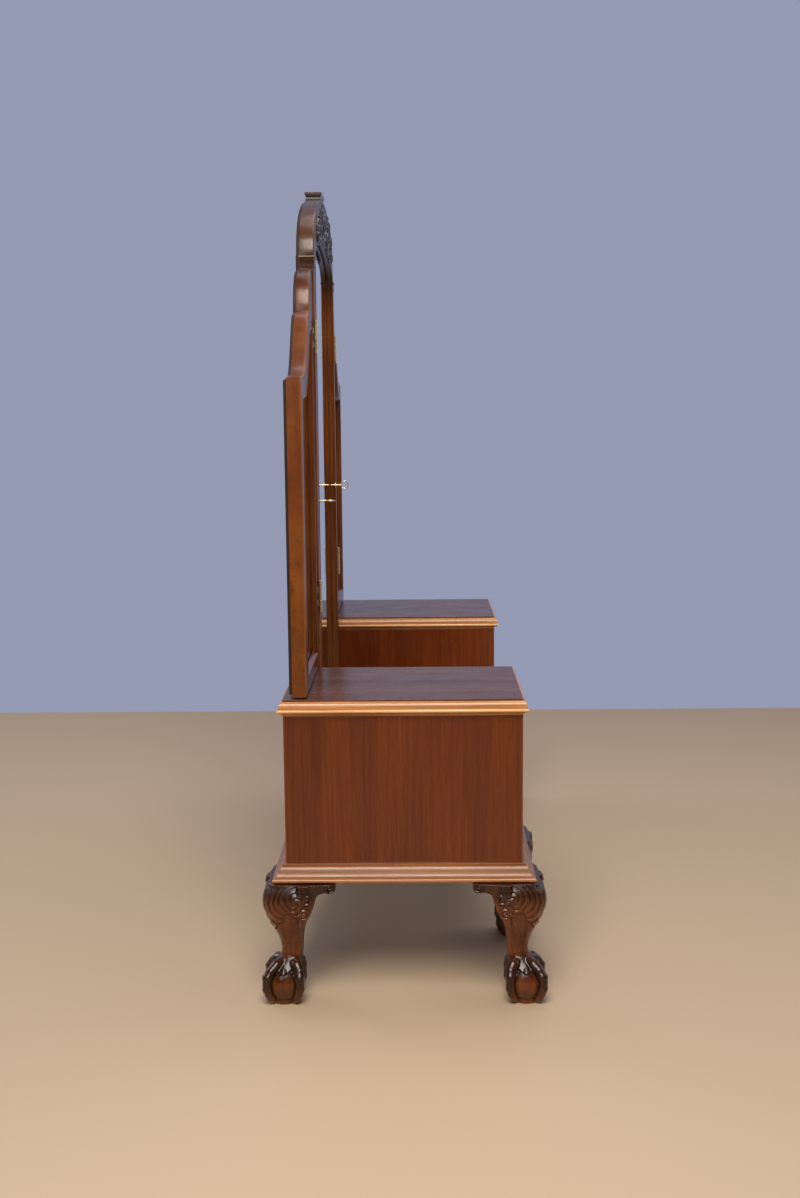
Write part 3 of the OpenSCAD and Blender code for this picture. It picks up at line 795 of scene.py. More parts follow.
def solid_from(field, origin, step):
    """Vertices in millimetres, faces, and how concave and how raised the surface is at each vertex; the concavity
    serves as painted shade in the hollows.
    """
    grid = openvdb.FloatGrid(4.0)
    grid.copyFromArray(np.ascontiguousarray(np.clip(field, -4, 4), np.float32))
    points, triangles, quads = grid.convertToPolygons(0.0, 0.0)
    bend = blur(np.clip(field, -6, 6), 3)
    i = np.clip(np.rint(points).astype(int), 0, np.array(field.shape) - 1)
    bend = bend[i[:, 0], i[:, 1], i[:, 2]]
    bend = bend - field[i[:, 0], i[:, 1], i[:, 2]]
    faces = [tuple(t) for t in triangles] + [tuple(q) for q in quads]
    return points * step + np.array(origin), faces, np.clip(-bend * 1.1, 0, 1), np.clip(bend * 1.4 - 0.3, 0, 1)


def polygon_distance(px, pz, corners):
    """Signed distance from each point to a closed polygon, negative inside."""
    best = np.full(px.shape, 1e9)
    inside = np.zeros(px.shape, bool)
    for (ax, az), (bx, bz) in zip(corners, corners[1:] + corners[:1]):
        ex, ez = bx - ax, bz - az
        t = np.clip(((px - ax) * ex + (pz - az) * ez) / (ex * ex + ez * ez), 0, 1)
        best = np.minimum(best, np.hypot(px - ax - t * ex, pz - az - t * ez))
        crosses = (az > pz) != (bz > pz)
        with np.errstate(divide="ignore", invalid="ignore"):
            inside ^= crosses & (px < (bx - ax) * (pz - az) / (bz - az) + ax)
    return np.where(inside, -best, best)


def volute(px, pz, centre, radius, turns=1.6, start=0.0, sense=1):
    """Height from 0 to 1 of a rolled scroll: a ridge that winds in to an eye."""
    r = np.hypot(px - centre[0], pz - centre[1])
    a = np.arctan2(pz - centre[1], px - centre[0]) * sense + start
    wind = (r / radius * turns - a / (2 * math.pi)) % 1.0
    ridge = np.sin(np.pi * wind) ** 1.5
    eye = np.clip(1.4 - r / (0.22 * radius), 0, 1)
    return np.maximum(ridge, eye) * np.clip((radius * 1.05 - r) / (0.2 * radius), 0, 1)


# Down a leg: height, centre of the section toward the corner, half width, squareness
LEG_STATIONS = np.array([
    (240, -17, 40, 3.6), (224, -12, 45, 3.4), (207, -9, 46, 3.2), (190, -9, 44.5, 3.0), (176, -10, 40.5, 2.9),
    (164, -10, 36.5, 2.8), (150, -11, 31.5, 2.6), (138, -12, 27.5, 2.5), (124, -14, 23.8, 2.4), (110, -15, 22, 2.3),
    (100, -15.5, 21.2, 2.2), (90, -14, 21.5, 2.1), (78, -8, 26, 2.0), (68, -3, 27, 2.0), (55, 0, 27, 2.0)])[::-1]
# Down a toe: distance from the ball's axis, height, radius
TOE = [(14, 79, 10), (28, 75.5, 10.6), (38.5, 67, 9.4), (43.5, 57, 10.0), (45.5, 45, 8.2), (44.5, 33.5, 9.4),
       (41, 22.5, 8.0), (35.5, 13, 7.8), (29, 6, 6.0)]
# Outline of the bracket beside the knee, and of the leaf on the knee measured from its corner
EAR = [(-34, 246), (-34, 158), (-42, 165), (-52, 180), (-58, 194), (-62, 207), (-65, 217), (-69, 222), (-80, 225),
       (-90, 223), (-96, 223), (-101, 228), (-102, 234), (-98, 246)]
LEAF = [(30, 141), (-6, 148), (-13, 146), (-21, 147), (-22, 156), (-28, 166), (-36, 170), (-34, 178), (-41, 187),
        (-50, 184), (-58, 176), (-68, 177), (-66, 187), (-74, 196), (-88, 246), (30, 246)]
BOSS = (-23, 210)
BALL_Z = 39
BALL_R = 39.0


def leg_relief(a, corner, z):
    """Height of the carving on one face of the knee; a runs along the face, corner back from its edge."""
    rho = np.hypot(corner + 61, z - 208)
    theta = np.arctan2(z - 208, corner + 61)
    along = rho / 10.5 - 0.55 * theta + 0.22 * np.sin(theta * 3.1 + rho * 0.11)
    part = along % 1.0
    strand = np.minimum(part * 5, 1) * (1 - part) ** 0.7
    gouge = 0.5 + 0.5 * np.cos(2 * math.pi * along * 3)
    edge = polygon_distance(corner, z, LEAF)
    leaf = np.clip(-edge / 2.0, 0, 1) ** 0.7 * (1.0 + 3.0 * strand + 0.5 * gouge * strand)
    leaf = leaf * np.clip((241 - z) / 2, 0, 1)
    boss = 2.6 * np.sqrt(np.clip(1 - (np.hypot(a - BOSS[0], z - BOSS[1]) / 9.0) ** 2, 0, 1))
    scrolls = (3.0 * volute(a, z, (-48, 213), 13, 1.8, 0.6) + 2.8 * volute(a, z, (-42, 184), 11, 1.6, 2.2)
               + 3.6 * volute(a, z, (-92, 232), 9, 1.4, 3.4, -1))
    return np.maximum(np.maximum(leaf, boss), scrolls)


def toe_field(x, y, z):
    """Distance to the four toes that grip the ball."""
    toes = np.full(np.broadcast_shapes(x.shape, y.shape, z.shape), 50, np.float32)
    for turn in (45, 135, 225, 315):
        ux, uy = math.cos(math.radians(turn)), math.sin(math.radians(turn))
        along, side = x * ux + y * uy, -x * uy + y * ux
        lean = np.clip((z - 58) / 30, 0, 1.2) * 10
        along = along + lean * math.cos(math.radians(turn - 45))
        side = side + lean * math.sin(math.radians(45 - turn))
        for (ra, za, wa), (rb, zb, wb) in zip(TOE, TOE[1:]):
            e = (rb - ra) ** 2 + (zb - za) ** 2
            t = np.clip(((along - ra) * (rb - ra) + (z - za) * (zb - za)) / e, 0, 1)
            d = np.sqrt((along - ra - t * (rb - ra)) ** 2 + side ** 2 + (z - za - t * (zb - za)) ** 2)
            toes = smin(toes, d - wa - t * (wb - wa), 1.2)
    return toes


def leg_field(step):
    """Distance field of one cabriole leg, knee toward +x +y, foot on z = 0, in millimetres."""
    lo, hi = -110, 54
    n, nz = int((hi - lo) / step), int(248 / step)
    x = (lo + step * np.arange(n, dtype=np.float32))[:, None, None]
    y = x.reshape(1, -1, 1)
    zs = -3 + step * np.arange(nz, dtype=np.float32)
    z = zs[None, None, :]
    soft = lambda v: np.convolve(np.pad(v, 6, "edge"), np.ones(13) / 13, "valid").astype(np.float32)
    c, h, q = (soft(np.interp(zs, LEG_STATIONS[:, 0], LEG_STATIONS[:, i]))[None, None, :] for i in (1, 2, 3))
    px, py = np.abs(x - c) / h, np.abs(y - c) / h
    field = ((px ** q + py ** q) ** (1 / q) - 1) * h

    # Ear brackets, then the carving over both faces of the knee
    corner_at = 33.0
    a, b = np.meshgrid(x.ravel(), zs, indexing="ij")
    flat = (polygon_distance(a, b, EAR) - 1.5).astype(np.float32)
    out = np.interp(a, (-102, -50, -30), (23, 32, 35)).astype(np.float32)
    relief = leg_relief(a, np.minimum(a - corner_at, 0), b).astype(np.float32)
    for swap in (False, True):
        other, this = (x, y) if swap else (y, x)
        plan = flat[None, :, :] if swap else flat[:, None, :]
        face = out[None, :, :] if swap else out[:, None, :]
        slab = np.maximum(other - face, -3 - other)
        ear = (np.hypot(np.maximum(plan + 3, 0), np.maximum(slab + 3, 0)) - 3
               + np.minimum(np.maximum(plan, slab) + 3, 0))
        field = smin(field, ear, 3.5)
    toward = (x + y) / 2
    corner = -np.abs(x - y)
    on_y = (y > x)
    along = np.where(on_y, x, y)
    facing = np.clip((np.maximum(x, y) - c) / h * 2.2 - 0.55, 0, 1)
    high = zs > 138
    ia = np.clip((along - lo) / step, 0, n - 1).astype(np.int32)
    picked = relief[ia, np.arange(nz)[None, None, :]]
    field[:, :, high] -= (picked * facing)[:, :, high]

    # Ball, toes and the web that is stretched over the ball between them
    low = zs < 116
    zl = z[:, :, low]
    foot = field[:, :, low]
    ball = np.sqrt(x * x + y * y + (zl - BALL_Z) ** 2) - BALL_R
    quarter = np.degrees(np.arctan2(y, x)) % 90
    rim = 66.5 - 5 * np.cos(np.radians(quarter * 4))
    dome = np.sqrt((x + 1.5) ** 2 + (y + 1.5) ** 2 + (zl - BALL_Z) ** 2) - (BALL_R + 2.6)
    tendons = 0.9 * np.cos(np.radians(quarter * 12)) * np.clip((86 - zl) / 20, 0, 1)
    web = np.hypot(np.maximum(dome - tendons + 2, 0), np.maximum(rim - zl + 2, 0)) - 2
    foot = smin(foot, web, 5.0)
    foot = smin(foot, toe_field(x, y, zl), 2.0)
    field[:, :, low] = np.minimum(foot, ball)
    field = np.maximum(field, -z)
    field = np.maximum(field, z - 239.9)
    return field.astype(np.float32), (lo, lo, -3)


def make_legs(material):
    step = 1.15
    field, origin = leg_field(step)
    points, faces, painted_shade, raised = solid_from(field, origin, step)
    points = points * MM
    points[:, 2] = np.clip(points[:, 2], 0, 240 * MM)
    tall = points[:, 2] / MM
    # Painted shade on the legs: darker at the top of the knee and at the foot, and on the ball darker towards its top,
    # lighter below.
    knee_top_painted_shade = 0.72 * np.clip((tall - 186) / 40, 0, 1)
    foot_painted_shade = 0.80 * np.clip((96 - tall) / 14, 0, 1) * np.clip((tall - 18) / 40 + 0.45, 0, 1)
    on_ball = np.abs(np.linalg.norm(points / MM - np.array([0, 0, BALL_Z]), axis=1) - BALL_R) < 0.5
    stain_and_painted_shade = np.where(on_ball, 0.12 + 0.6 * np.clip((tall - 46) / 16, 0, 1), np.maximum(knee_top_painted_shade, foot_painted_shade))
    for s in SIDES:
        for leg in ("front_outer", "front_inner", "back_outer"):
            cad = f"{s}_{leg}_leg"
            lo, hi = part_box(cad)
            sx = (1 if s == "right" else -1) * (-1 if leg == "front_inner" else 1)
            sy = 1 if leg == "back_outer" else -1
            reach = 42 * MM
            foot_x = (hi.x - reach) if sx > 0 else (lo.x + reach)
            foot_y = (hi.y - reach) if sy > 0 else (lo.y + reach)
            place = points * np.array([sx, sy, 1]) + np.array([foot_x, foot_y, 0])
            turned = faces if sx * sy > 0 else [f[::-1] for f in faces]
            obj = mesh_object(f"{cad}_carved", place, turned)
            # painted shade in the carved hollows, added to the painted shade by height
            store(obj, "painted_shade", np.clip(0.6 * painted_shade + stain_and_painted_shade, 0, 0.97))
            store(obj, "wear", 0.35 * raised * (1 - stain_and_painted_shade))
            store(obj, "grain", points[:, (2, 0, 1)] + np.float32(foot_x * 2 + foot_y))
            face_outward(obj)
            smooth(obj, 80)
            finish_piece(obj, "table", material, "carved_mahogany", cad)


def crest_height(ax, z, lower, upper):
    """Height of the carving over the arch: a shell in the middle, then scrolled leaves along the rail."""
    mid = (lower + upper) / 2
    r = np.hypot(ax, z - lower - 22)
    fan = np.degrees(np.arctan2(ax, z - lower - 22))
    lobes = np.cos(np.radians(fan) * 9) * np.clip(r / 22, 0, 1)
    shell = np.clip((47 - r + 3 * lobes) / 3, 0, 1) * (fan < 118) * (4.2 + 2.4 * lobes)
    boss = 7.6 * np.sqrt(np.clip(1 - (np.hypot(ax, z - lower - 20) / 11) ** 2, 0, 1))
    height = np.maximum(shell, boss)
    for k, (x0, side, radius) in enumerate(((74, -1, 25), (124, 1, 24), (172, -1, 21), (214, 1, 16), (238, -1, 11))):
        centre = (x0, 12 * side)
        dz = z - mid
        spiral = volute(ax, dz, centre, radius, 1.7, 0.8 * k, side)
        d = np.hypot(ax - x0, dz - centre[1])
        turn = np.arctan2(dz - centre[1], ax - x0) * side
        leaves = np.clip((radius * 1.9 - d) / 8, 0, 1) * (d > radius) * (2.6 + 2.0 * np.cos(turn * 9 + d / 5))
        height = np.maximum(height, np.maximum((7.2 - 0.5 * k) * spiral, leaves))
    stem = np.exp(-((z - mid - 13 * np.sin(ax / 15.5)) / 4.2) ** 2) * 4.5
    return np.maximum(np.maximum(height, stem), 1.3 + 0.7 * np.cos(ax * 0.55 + z * 0.35))


def make_crest(material, cap_material):
    """The carving on the arch and the small moulded cap above it."""
    step = 0.85
    lo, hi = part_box("crest")
    x = np.arange(lo.x / MM - 3, hi.x / MM + 3, step)[:, None]
    z = np.arange(lo.z / MM - 3, ARCH_Z / MM + 3, step)[None, :]
    ax = np.abs(x)
    oval_z = lambda half, height, foot: foot / MM + height * np.sqrt(np.clip(1 - (ax * MM / half) ** 2, 0, 1))
    upper = oval_z(HALF - LEDGE, (ARCH_Z - ARCH_FOOT) / MM, ARCH_FOOT)
    lower = oval_z(HALF - STILE, 72, OPENING_FOOT)
    drop = [(0, 101), (46, 95), (92, 101), (152, 108), (208, 117), (244, 118), (253, 104), (240, 77), (200, 46),
            (150, 25), (100, 12), (52, 4), (0, 0.5)]
    right = [(a, ARCH_Z / MM - b) for a, b in drop]
    edge = polygon_distance(x + 0 * z, z + 0 * x, right + [(-a, b) for a, b in right[-2:0:-1]])
    edge = edge + 1.6 + 1.5 * np.sin(ax / 4.4 + z / 9)
    height = crest_height(ax, z, lower, upper) * np.clip(-edge / 3.5, 0, 1) ** 0.5 + 0.3
    face = FACE_Y / MM
    y = np.arange(face - 11, face + 4, step)[None, :, None]
    field = np.maximum((face - height)[:, None, :] - y, edge[:, None, :])
    field = np.maximum(field * 0.7, y - face - 1.2).astype(np.float32)
    points, faces, painted_shade, raised = solid_from(field, (lo.x / MM - 3, face - 11, lo.z / MM - 3), step)
    obj = mesh_object("crest_carving", points * MM, faces)
    # painted shade: the carving's hollows are darkened, more strongly than on the legs
    store(obj, "painted_shade", np.clip(painted_shade * 1.6, 0, 1))
    store(obj, "wear", raised * 0.3)
    grain_along(obj, "X")
    face_outward(obj)
    smooth(obj, 80)
    finish_piece(obj, "table", material, "carved_mahogany", "crest")

    half, tall = 52 * MM, hi.z - ARCH_Z
    path = [(-half, FACE_Y + 1 * MM), (half, FACE_Y + 1 * MM), (half, hi.y), (-half, hi.y)]
    section = [(-18, 0), (-1.6, 0), (-1.6, 2.6), (-2.4, 3.4), (-2.8, 6), (-2.2, 9), (-1.0, 11), (-0.8, 12.4), (0, 12.6),
               (0, 17.2), (-0.8, tall / MM), (-18, tall / MM)]
    cap = sweep("crest_cap", path, millimetres(section), True, ARCH_Z)
    lid = board("crest_cap_core", (-half + 16 * MM, path[0][1] + 16 * MM, ARCH_Z), (half - 16 * MM, hi.y - 16 * MM, hi.z),
                "X", 0.2 * MM)
    finish_piece(joined("crest_cap", [cap, lid]), "table", cap_material, "carved_mahogany")


# ---------------------------------------------------------------- mouldings and boards

def arc_points(cx, cy, rx, ry, a0, a1, n=10):
    return [(cx + rx * math.cos(math.radians(a0 + (a1 - a0) * i / n)),
             cy + ry * math.sin(math.radians(a0 + (a1 - a0) * i / n))) for i in range(n + 1)]


def top_section():
    """Section of the moulded edge of a top, in millimetres out from the carcase and up from its underside."""
    return ([(-8, 0.2)] + arc_points(7.8, 0.2, 7.3, 6.4, 180, 96, 6) + arc_points(7.8, 10.5, 3.2, 3.2, -78, 74, 9)
            + [(8.1, 14.2), (8.6, 15.2)] + arc_points(0, 15.4, 8.6, 12.6, 0, 80, 12)
            + [(0.2, 28.5), (-8, 28.5)])


def base_section():
    """Section of the base moulding, in millimetres out from the carcase and up from its underside."""
    cyma = [(20 - 14 * t, 11 + 18 * (1 - math.cos(math.pi * t)) / 2) for t in np.linspace(0, 1, 14)]
    return ([(0, 0.2), (20.6, 0.4)] + arc_points(20.8, 4.9, 4.2, 4.3, -84, 72, 10) + [(20.6, 9.6), (20.2, 10.6)]
            + cyma + [(6, 32.2), (5.5, 33), (0, 33)])


def millimetres(section):
    return [(a * MM, b * MM) for a, b in section]


def make_pedestal(s, mats):
    def around(cad):
        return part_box(f"{s}_{cad}")

    lo, hi = around("top_board")
    lip, slab_t = 8.6 * MM, 3.4 * MM
    slab = board(f"{s}_top_slab", (lo.x - lip, lo.y - lip, hi.z - slab_t), (hi.x + lip, hi.y + lip, hi.z), "Y", 0.6 * MM)
    core = board(f"{s}_top_core", lo, (hi.x, hi.y, hi.z - slab_t), "Y", 0.3 * MM)
    finish_piece(joined(f"{s}_top_panel", [slab, core]), "table", mats["top"], "mahogany", f"{s}_top_board")
    over = 11 * MM
    lo, hi = around("top_moulding")
    path = [(lo.x + over, lo.y + over), (hi.x - over, lo.y + over), (hi.x - over, hi.y - over), (lo.x + over, hi.y - over)]
    m = sweep(f"{s}_top_edge", path, millimetres(top_section()), True, lo.z)
    finish_piece(m, "table", mats["moulding"], "mahogany", f"{s}_top_moulding")

    x0, x1 = lo.x + over, hi.x - over
    y0, y1 = lo.y + over, hi.y - over
    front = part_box("platform_board")[0].y
    if s == "right":
        path = [(x0, front), (x0, y0), (x1, y0), (x1, y1), (x0, y1)]
    else:
        path = [(x0, y1), (x0, y0), (x1, y0), (x1, front)]
        path = [(x1, y1)] + path
    base_lo = around("base_moulding")[0]
    run = path
    m = sweep(f"{s}_base_edge", run, millimetres(base_section()), False, base_lo.z)
    finish_piece(m, "table", mats["moulding_low"], "mahogany", f"{s}_base_moulding")

    for part, mat in (("outer_side", "side"), ("inner_side", "side")):
        lo, hi = around(part)
        b = board(f"{s}_{part}_panel", lo, hi, "Z", 0.6 * MM)
        finish_piece(b, "table", mats[mat], "mahogany", f"{s}_{part}")


def planked(name, lo, hi, planks, material, body, slot, cad):
    """Upright boards side by side, each with softened edges, so that a fine groove shows at each joint."""
    width = (hi.x - lo.x) / planks
    parts = [board(f"{name}_{k}", (lo.x + k * width, lo.y, lo.z), (lo.x + (k + 1) * width, hi.y, hi.z), "Z", 1.0 * MM)
             for k in range(planks)]
    return finish_piece(joined(name, parts), body, material, slot, cad)


def make_carcase(s, mats):
    """The parts of a pedestal that hardly show: plinth, back and dust board."""
    lo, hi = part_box(f"{s}_plinth")
    finish_piece(board(f"{s}_plinth_block", lo, hi, "X"), "table", mats["side_x"], "mahogany", f"{s}_plinth")
    lo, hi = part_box(f"{s}_back_panel")
    planked(f"{s}_back_boards", lo, hi, 3, mats["back_z"], "table", "backboard", f"{s}_back_panel")
    lo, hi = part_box(f"{s}_dust_board")
    rail_back = lo.y + 45 * MM
    rail = board(f"{s}_drawer_rail", lo, (hi.x, rail_back, hi.z), "X", 0.5 * MM)
    finish_piece(rail, "table", mats["front"], "mahogany", f"{s}_dust_board")
    panel = board(f"{s}_dust_panel", (lo.x, rail_back, lo.z), hi, "X")
    finish_piece(panel, "table", mats["oak_x"], "drawer_wood")


def make_platform(mats):
    lo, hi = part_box("platform_board")
    b = board("platform_panel", lo, hi, "X", 0.4 * MM)
    finish_piece(b, "table", mats["side_x"], "mahogany", "platform_board")
    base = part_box("platform_moulding")[0].z
    reach = 25 * MM
    path = [(lo.x, lo.y), (hi.x, lo.y)]
    m = sweep("platform_edge", path, millimetres(base_section()), False, base)
    co = points_of(m)
    out = np.clip(lo.y - co[:, 1], 0, reach)
    limit = hi.x - out - 0.05 * MM
    co[:, 0] = np.clip(co[:, 0], -limit, limit)
    m.data.vertices.foreach_set("co", co.ravel())
    finish_piece(m, "table", mats["moulding_low"], "mahogany", "platform_moulding")
    lo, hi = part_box("mirror_cleats")
    for s, (x0, x1) in (("left", (lo.x, -HALF)), ("right", (HALF, hi.x))):
        cleat = board(f"{s}_mirror_cleat", (x0, lo.y, lo.z), (x1, hi.y, hi.z), "Z", 1 * MM)
        finish_piece(cleat, "table", mats["side"], "mahogany", *(["mirror_cleats"] if s == "left" else []))


# ---------------------------------------------------------------- drawers

def drawer_front(s, level, material):
    """A veneered front with a cockbead standing round its edge."""
    lo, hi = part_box(f"{s}_{level}_drawer_front")
    bead = [(0, -20), (0, 0.3), (0.3, 1.2), (1.0, 1.7), (1.8, 1.7), (2.5, 1.2), (2.9, 0.2), (3.1, -0.5), (3.5, 0)]
    outline = [(lo.x, lo.z), (hi.x, lo.z), (hi.x, hi.z), (lo.x, hi.z)]
    rings = [(a * MM, lo.y - b * MM) for a, b in bead] + [(30 * MM, lo.y), (55 * MM, lo.y)]
    points = [(x, y, z) for inset, y in rings for x, z in offset_inward(outline, inset)]
    faces = [(r * 4 + i, r * 4 + (i + 1) % 4, (r + 1) * 4 + (i + 1) % 4, (r + 1) * 4 + i)
             for r in range(len(rings) - 1) for i in range(4)]
    faces += [(3, 2, 1, 0), tuple(range((len(rings) - 1) * 4, len(rings) * 4))]
    obj = mesh_object(f"{s}_{level}_drawer_veneered_front", points, faces)
    store(obj, "wear", [0.5 if 2 <= r <= 5 else 0.0 for r in range(len(rings)) for i in range(4)])
    grain_along(obj, "X", lo.x + 2 * lo.z)
    face_outward(obj)
    smooth(obj, 40)
    finish_piece(obj, f"{s}_{level}_drawer", material, "mahogany", f"{s}_{level}_drawer_front")


def dovetails(name, x, lo, hi, count):
    """Tails of a drawer's side let into the end of its front."""
    deep, pitch = 13 * MM, (hi.z - lo.z) / count
    parts = []
    for k in range(count):
        mid, narrow, wide = lo.z + (k + 0.5) * pitch, 0.30 * pitch, 0.40 * pitch
        corners = [(lo.y, mid - narrow), (lo.y - deep, mid - wide), (lo.y - deep, mid + wide), (lo.y, mid + narrow)]
        points = [(x + d, y, z) for d in (-3 * MM, 3 * MM) for y, z in corners]
        faces = [(0, 1, 2, 3), (7, 6, 5, 4)] + [(i, i + 4, (i + 1) % 4 + 4, (i + 1) % 4) for i in range(4)]
        tail = mesh_object(f"{name}_{k}", points, faces)
        face_outward(tail)
        store(tail, "wear", [0.0] * 8)
        grain_along(tail, "Y", x)
        parts.append(tail)
    return parts


def drawer_tray(s, level, material):
    """Sides, back and bottom of a drawer, dovetailed to its front."""
    lo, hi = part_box(f"{s}_{level}_drawer_tray")
    thick, floor_t = 10 * MM, 6 * MM
    name = f"{s}_{level}_drawer"
    parts = [board(f"{name}_a", lo, (lo.x + thick, hi.y, hi.z), "Y", 1 * MM),
             board(f"{name}_b", (hi.x - thick, lo.y, lo.z), hi, "Y", 1 * MM),
             board(f"{name}_c", (lo.x + thick, hi.y - thick, lo.z), (hi.x - thick, hi.y, hi.z - 3 * MM), "X", 1 * MM),
             board(f"{name}_d", (lo.x + thick, lo.y, lo.z), (hi.x - thick, hi.y - thick, lo.z + floor_t), "X",
                   0.5 * MM)]
    for x in (lo.x + 1.6 * MM, hi.x - 1.6 * MM):
        parts += dovetails(f"{name}_tail", x, lo, hi, 4)
    finish_piece(joined(f"{name}_dovetailed_tray", parts), f"{s}_{level}_drawer", material, "drawer_wood",
                 f"{s}_{level}_drawer_tray")


def plate_outline(x, z, half):
    """Outline of a handle's back plate: pointed ends, cusps between its lobes and a drop in the middle."""
    quarter = [(0, -15), (6, -14.4), (10, -12), (12.5, -9.2), (17, -10.5), (22, -10.2), (26, -7.5), (30, -8.8), (36, -7.8),
               (40, -4), (43, 0), (40, 4.4), (35, 8.2), (30, 8.8), (26, 7.0), (21, 9.4), (15, 10.0), (10, 8.2),
               (5, 9.8), (0, 10.6)]
    scale = half / (43 * MM)
    right = [(x + a * MM * scale, z + b * MM) for a, b in quarter]
    return right + [(2 * x - a, b) for a, b in right[-2:0:-1]]


def drawer_handle(s, level, material):
    """Cast back plate with two turned posts, and the bail that swings between them."""
    lo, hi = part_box(f"{s}_{level}_drawer_handle_plate")
    bail_lo, bail_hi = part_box(f"{s}_{level}_drawer_bail")
    x, z, pivot_y = (lo.x + hi.x) / 2, (lo.z + hi.z) / 2 + 2 * MM, (bail_lo.y + bail_hi.y) / 2
    reach = 32 * MM
    name = f"{s}_{level}_drawer"
    parts = [plate(f"{name}_plate", plate_outline(x, z, (hi.x - lo.x) / 2), hi.y - 1.5 * MM, hi.y, 0.8 * MM)]
    post = [(6.4, 0), (6.4, 0.8), (5.4, 1.6), (3.0, 2.2), (2.6, 3.0), (3.4, 3.5), (3.9, 4.4), (4.0, 5.2), (3.7, 6.2),
            (2.6, 6.8), (0.5, 7.0)]
    for side in (-1, 1):
        parts.append(turned(f"{name}_post", millimetres(post), (x + side * reach, hi.y - 1.5 * MM, z), (0, -1, 0)))
    finish_piece(joined(f"{name}_back_plate", parts), f"{s}_{level}_drawer", material, "brass",
                 f"{s}_{level}_drawer_handle_plate")
    half, foot = (bail_hi.x - bail_lo.x) / 2, bail_lo.z + 2 * MM
    drop_x = half - 10.5 * MM
    path = [(x - half, z), (x - drop_x - 1 * MM, z), (x - drop_x + 1.5 * MM, z - 9 * MM), (x - drop_x * 0.62, foot + 1 * MM),
            (x - 9 * MM, foot + 0.6 * MM), (x, foot), (x + 9 * MM, foot + 0.6 * MM), (x + drop_x * 0.62, foot + 1 * MM),
            (x + drop_x - 1.5 * MM, z - 9 * MM), (x + drop_x + 1 * MM, z), (x + half, z)]
    line = rounded([(a, pivot_y, b) for a, b in path], 6 * MM)
    radii = [1.55 * MM if abs(p.x - x) > drop_x - 0.5 * MM else (1.7 + 0.7 * math.exp(-((p.x - x) / (9 * MM)) ** 2)) * MM
             for p in line]
    finish_piece(tube(f"{name}_swing_handle", line, radii), f"{name}_handle", material, "brass", f"{name}_bail")


# ---------------------------------------------------------------- hinges and keys

def hinge_leaf(s, kind, first, inward, body, mats):
    """A butt hinge's leaf let into a frame's edge, with its knuckles and three slotted screws, at both heights."""
    cad = f"{s}_hinge_{kind}"
    lo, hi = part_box(cad)
    sign = 1 if s == "right" else -1
    axis = Vector(((lo.x + hi.x) / 2, lo.y + KNUCKLE_R, 0))
    pitch, count, thick = HINGE_LEN / 5, 5, 1.2 * MM
    edge = HALF if inward < 0 else HALF + 0.8 * MM
    parts, screws = [], []
    for z0 in (lo.z, hi.z - HINGE_LEN):
        x0, x1 = sorted((sign * edge, sign * (edge + inward * thick)))
        parts.append(board(f"{cad}_plate", (x0, WING_FACE_Y + 0.4 * MM, z0), (x1, hi.y, z0 + HINGE_LEN), "Z", 0.2 * MM))
        for k in range(first, count, 2):
            base = (axis.x, axis.y, z0 + k * pitch + 0.4 * MM)
            tall, r, ease = pitch - 0.8 * MM, KNUCKLE_R - 0.02 * MM, 0.45 * MM
            parts.append(turned(f"{cad}_knuckle", [(1.4 * MM, 0), (r - ease, 0), (r, ease), (r, tall - ease),
                                                   (r - ease, tall), (1.4 * MM, tall)], base, (0, 0, 1)))
            parts.append(board(f"{cad}_neck", (x0, axis.y, base[2]), (x1, WING_FACE_Y + 1 * MM, base[2] + tall), "Z",
                               0.1 * MM))
        if kind == "fixed_leaves":
            pin = [(1.4, -0.9), (2.1, -0.7), (2.1, -0.2), (1.3, 0), (1.3, HINGE_LEN / MM), (2.1, HINGE_LEN / MM + 0.2),
                   (2.1, HINGE_LEN / MM + 0.7), (1.4, HINGE_LEN / MM + 0.9)]
            parts.append(turned(f"{cad}_pin", millimetres(pin), (axis.x, axis.y, z0), (0, 0, 1)))
        for k in range(3):
            centre = (sign * (edge - inward * 0.02 * MM), WING_FACE_Y + (9 if k % 2 else 14) * MM, z0 + (12 + 22.5 * k) * MM)
            screws.append(screw_head(f"{cad}_screw", centre, (-sign * inward, 0, 0), 2.6 * MM))
    for part in parts:
        part.data.materials.append(mats["brass"])
    for screw in screws:
        screw.data.materials.append(mats["steel"])
    obj = joined(f"{cad}_brass", parts + screws)
    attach(obj, body)
    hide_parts(cad)


def make_key(s, mats):
    """A key in the mirror's stile: collared shank and a ring bow."""
    lo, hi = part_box(f"{s}_key")
    centre = (lo + hi) / 2
    wire, bow_r = 1.2 * MM, 9.3 * MM
    bow_y = lo.y + bow_r + wire
    tip = bow_y + bow_r
    shank = [(1.2, 0), (2.0, 0.2), (2.2, 1.2), (2.2, 2.2), (1.6, 2.6), (1.6, 3.4), (2.1, 3.8), (2.1, 4.6), (1.6, 5.0),
             (1.5, (hi.y - tip) / MM)]
    parts = [turned(f"{s}_key_shank", millimetres(shank), (centre.x, tip - 0.4 * MM, centre.z), (0, 1, 0))]
    flat = s == "left"
    ring = []
    for k in range(40):
        a = 2 * math.pi * k / 40
        u, v = bow_r * math.cos(a), bow_r * math.sin(a)
        ring.append((centre.x + (u if flat else 0), bow_y + v, centre.z + (0 if flat else u)))
    parts.append(tube(f"{s}_key_ring", ring, wire, closed=True))
    finish_piece(joined(f"{s}_key_and_ring", parts), f"{s}_lock_key", mats["brass"], "brass", f"{s}_key")


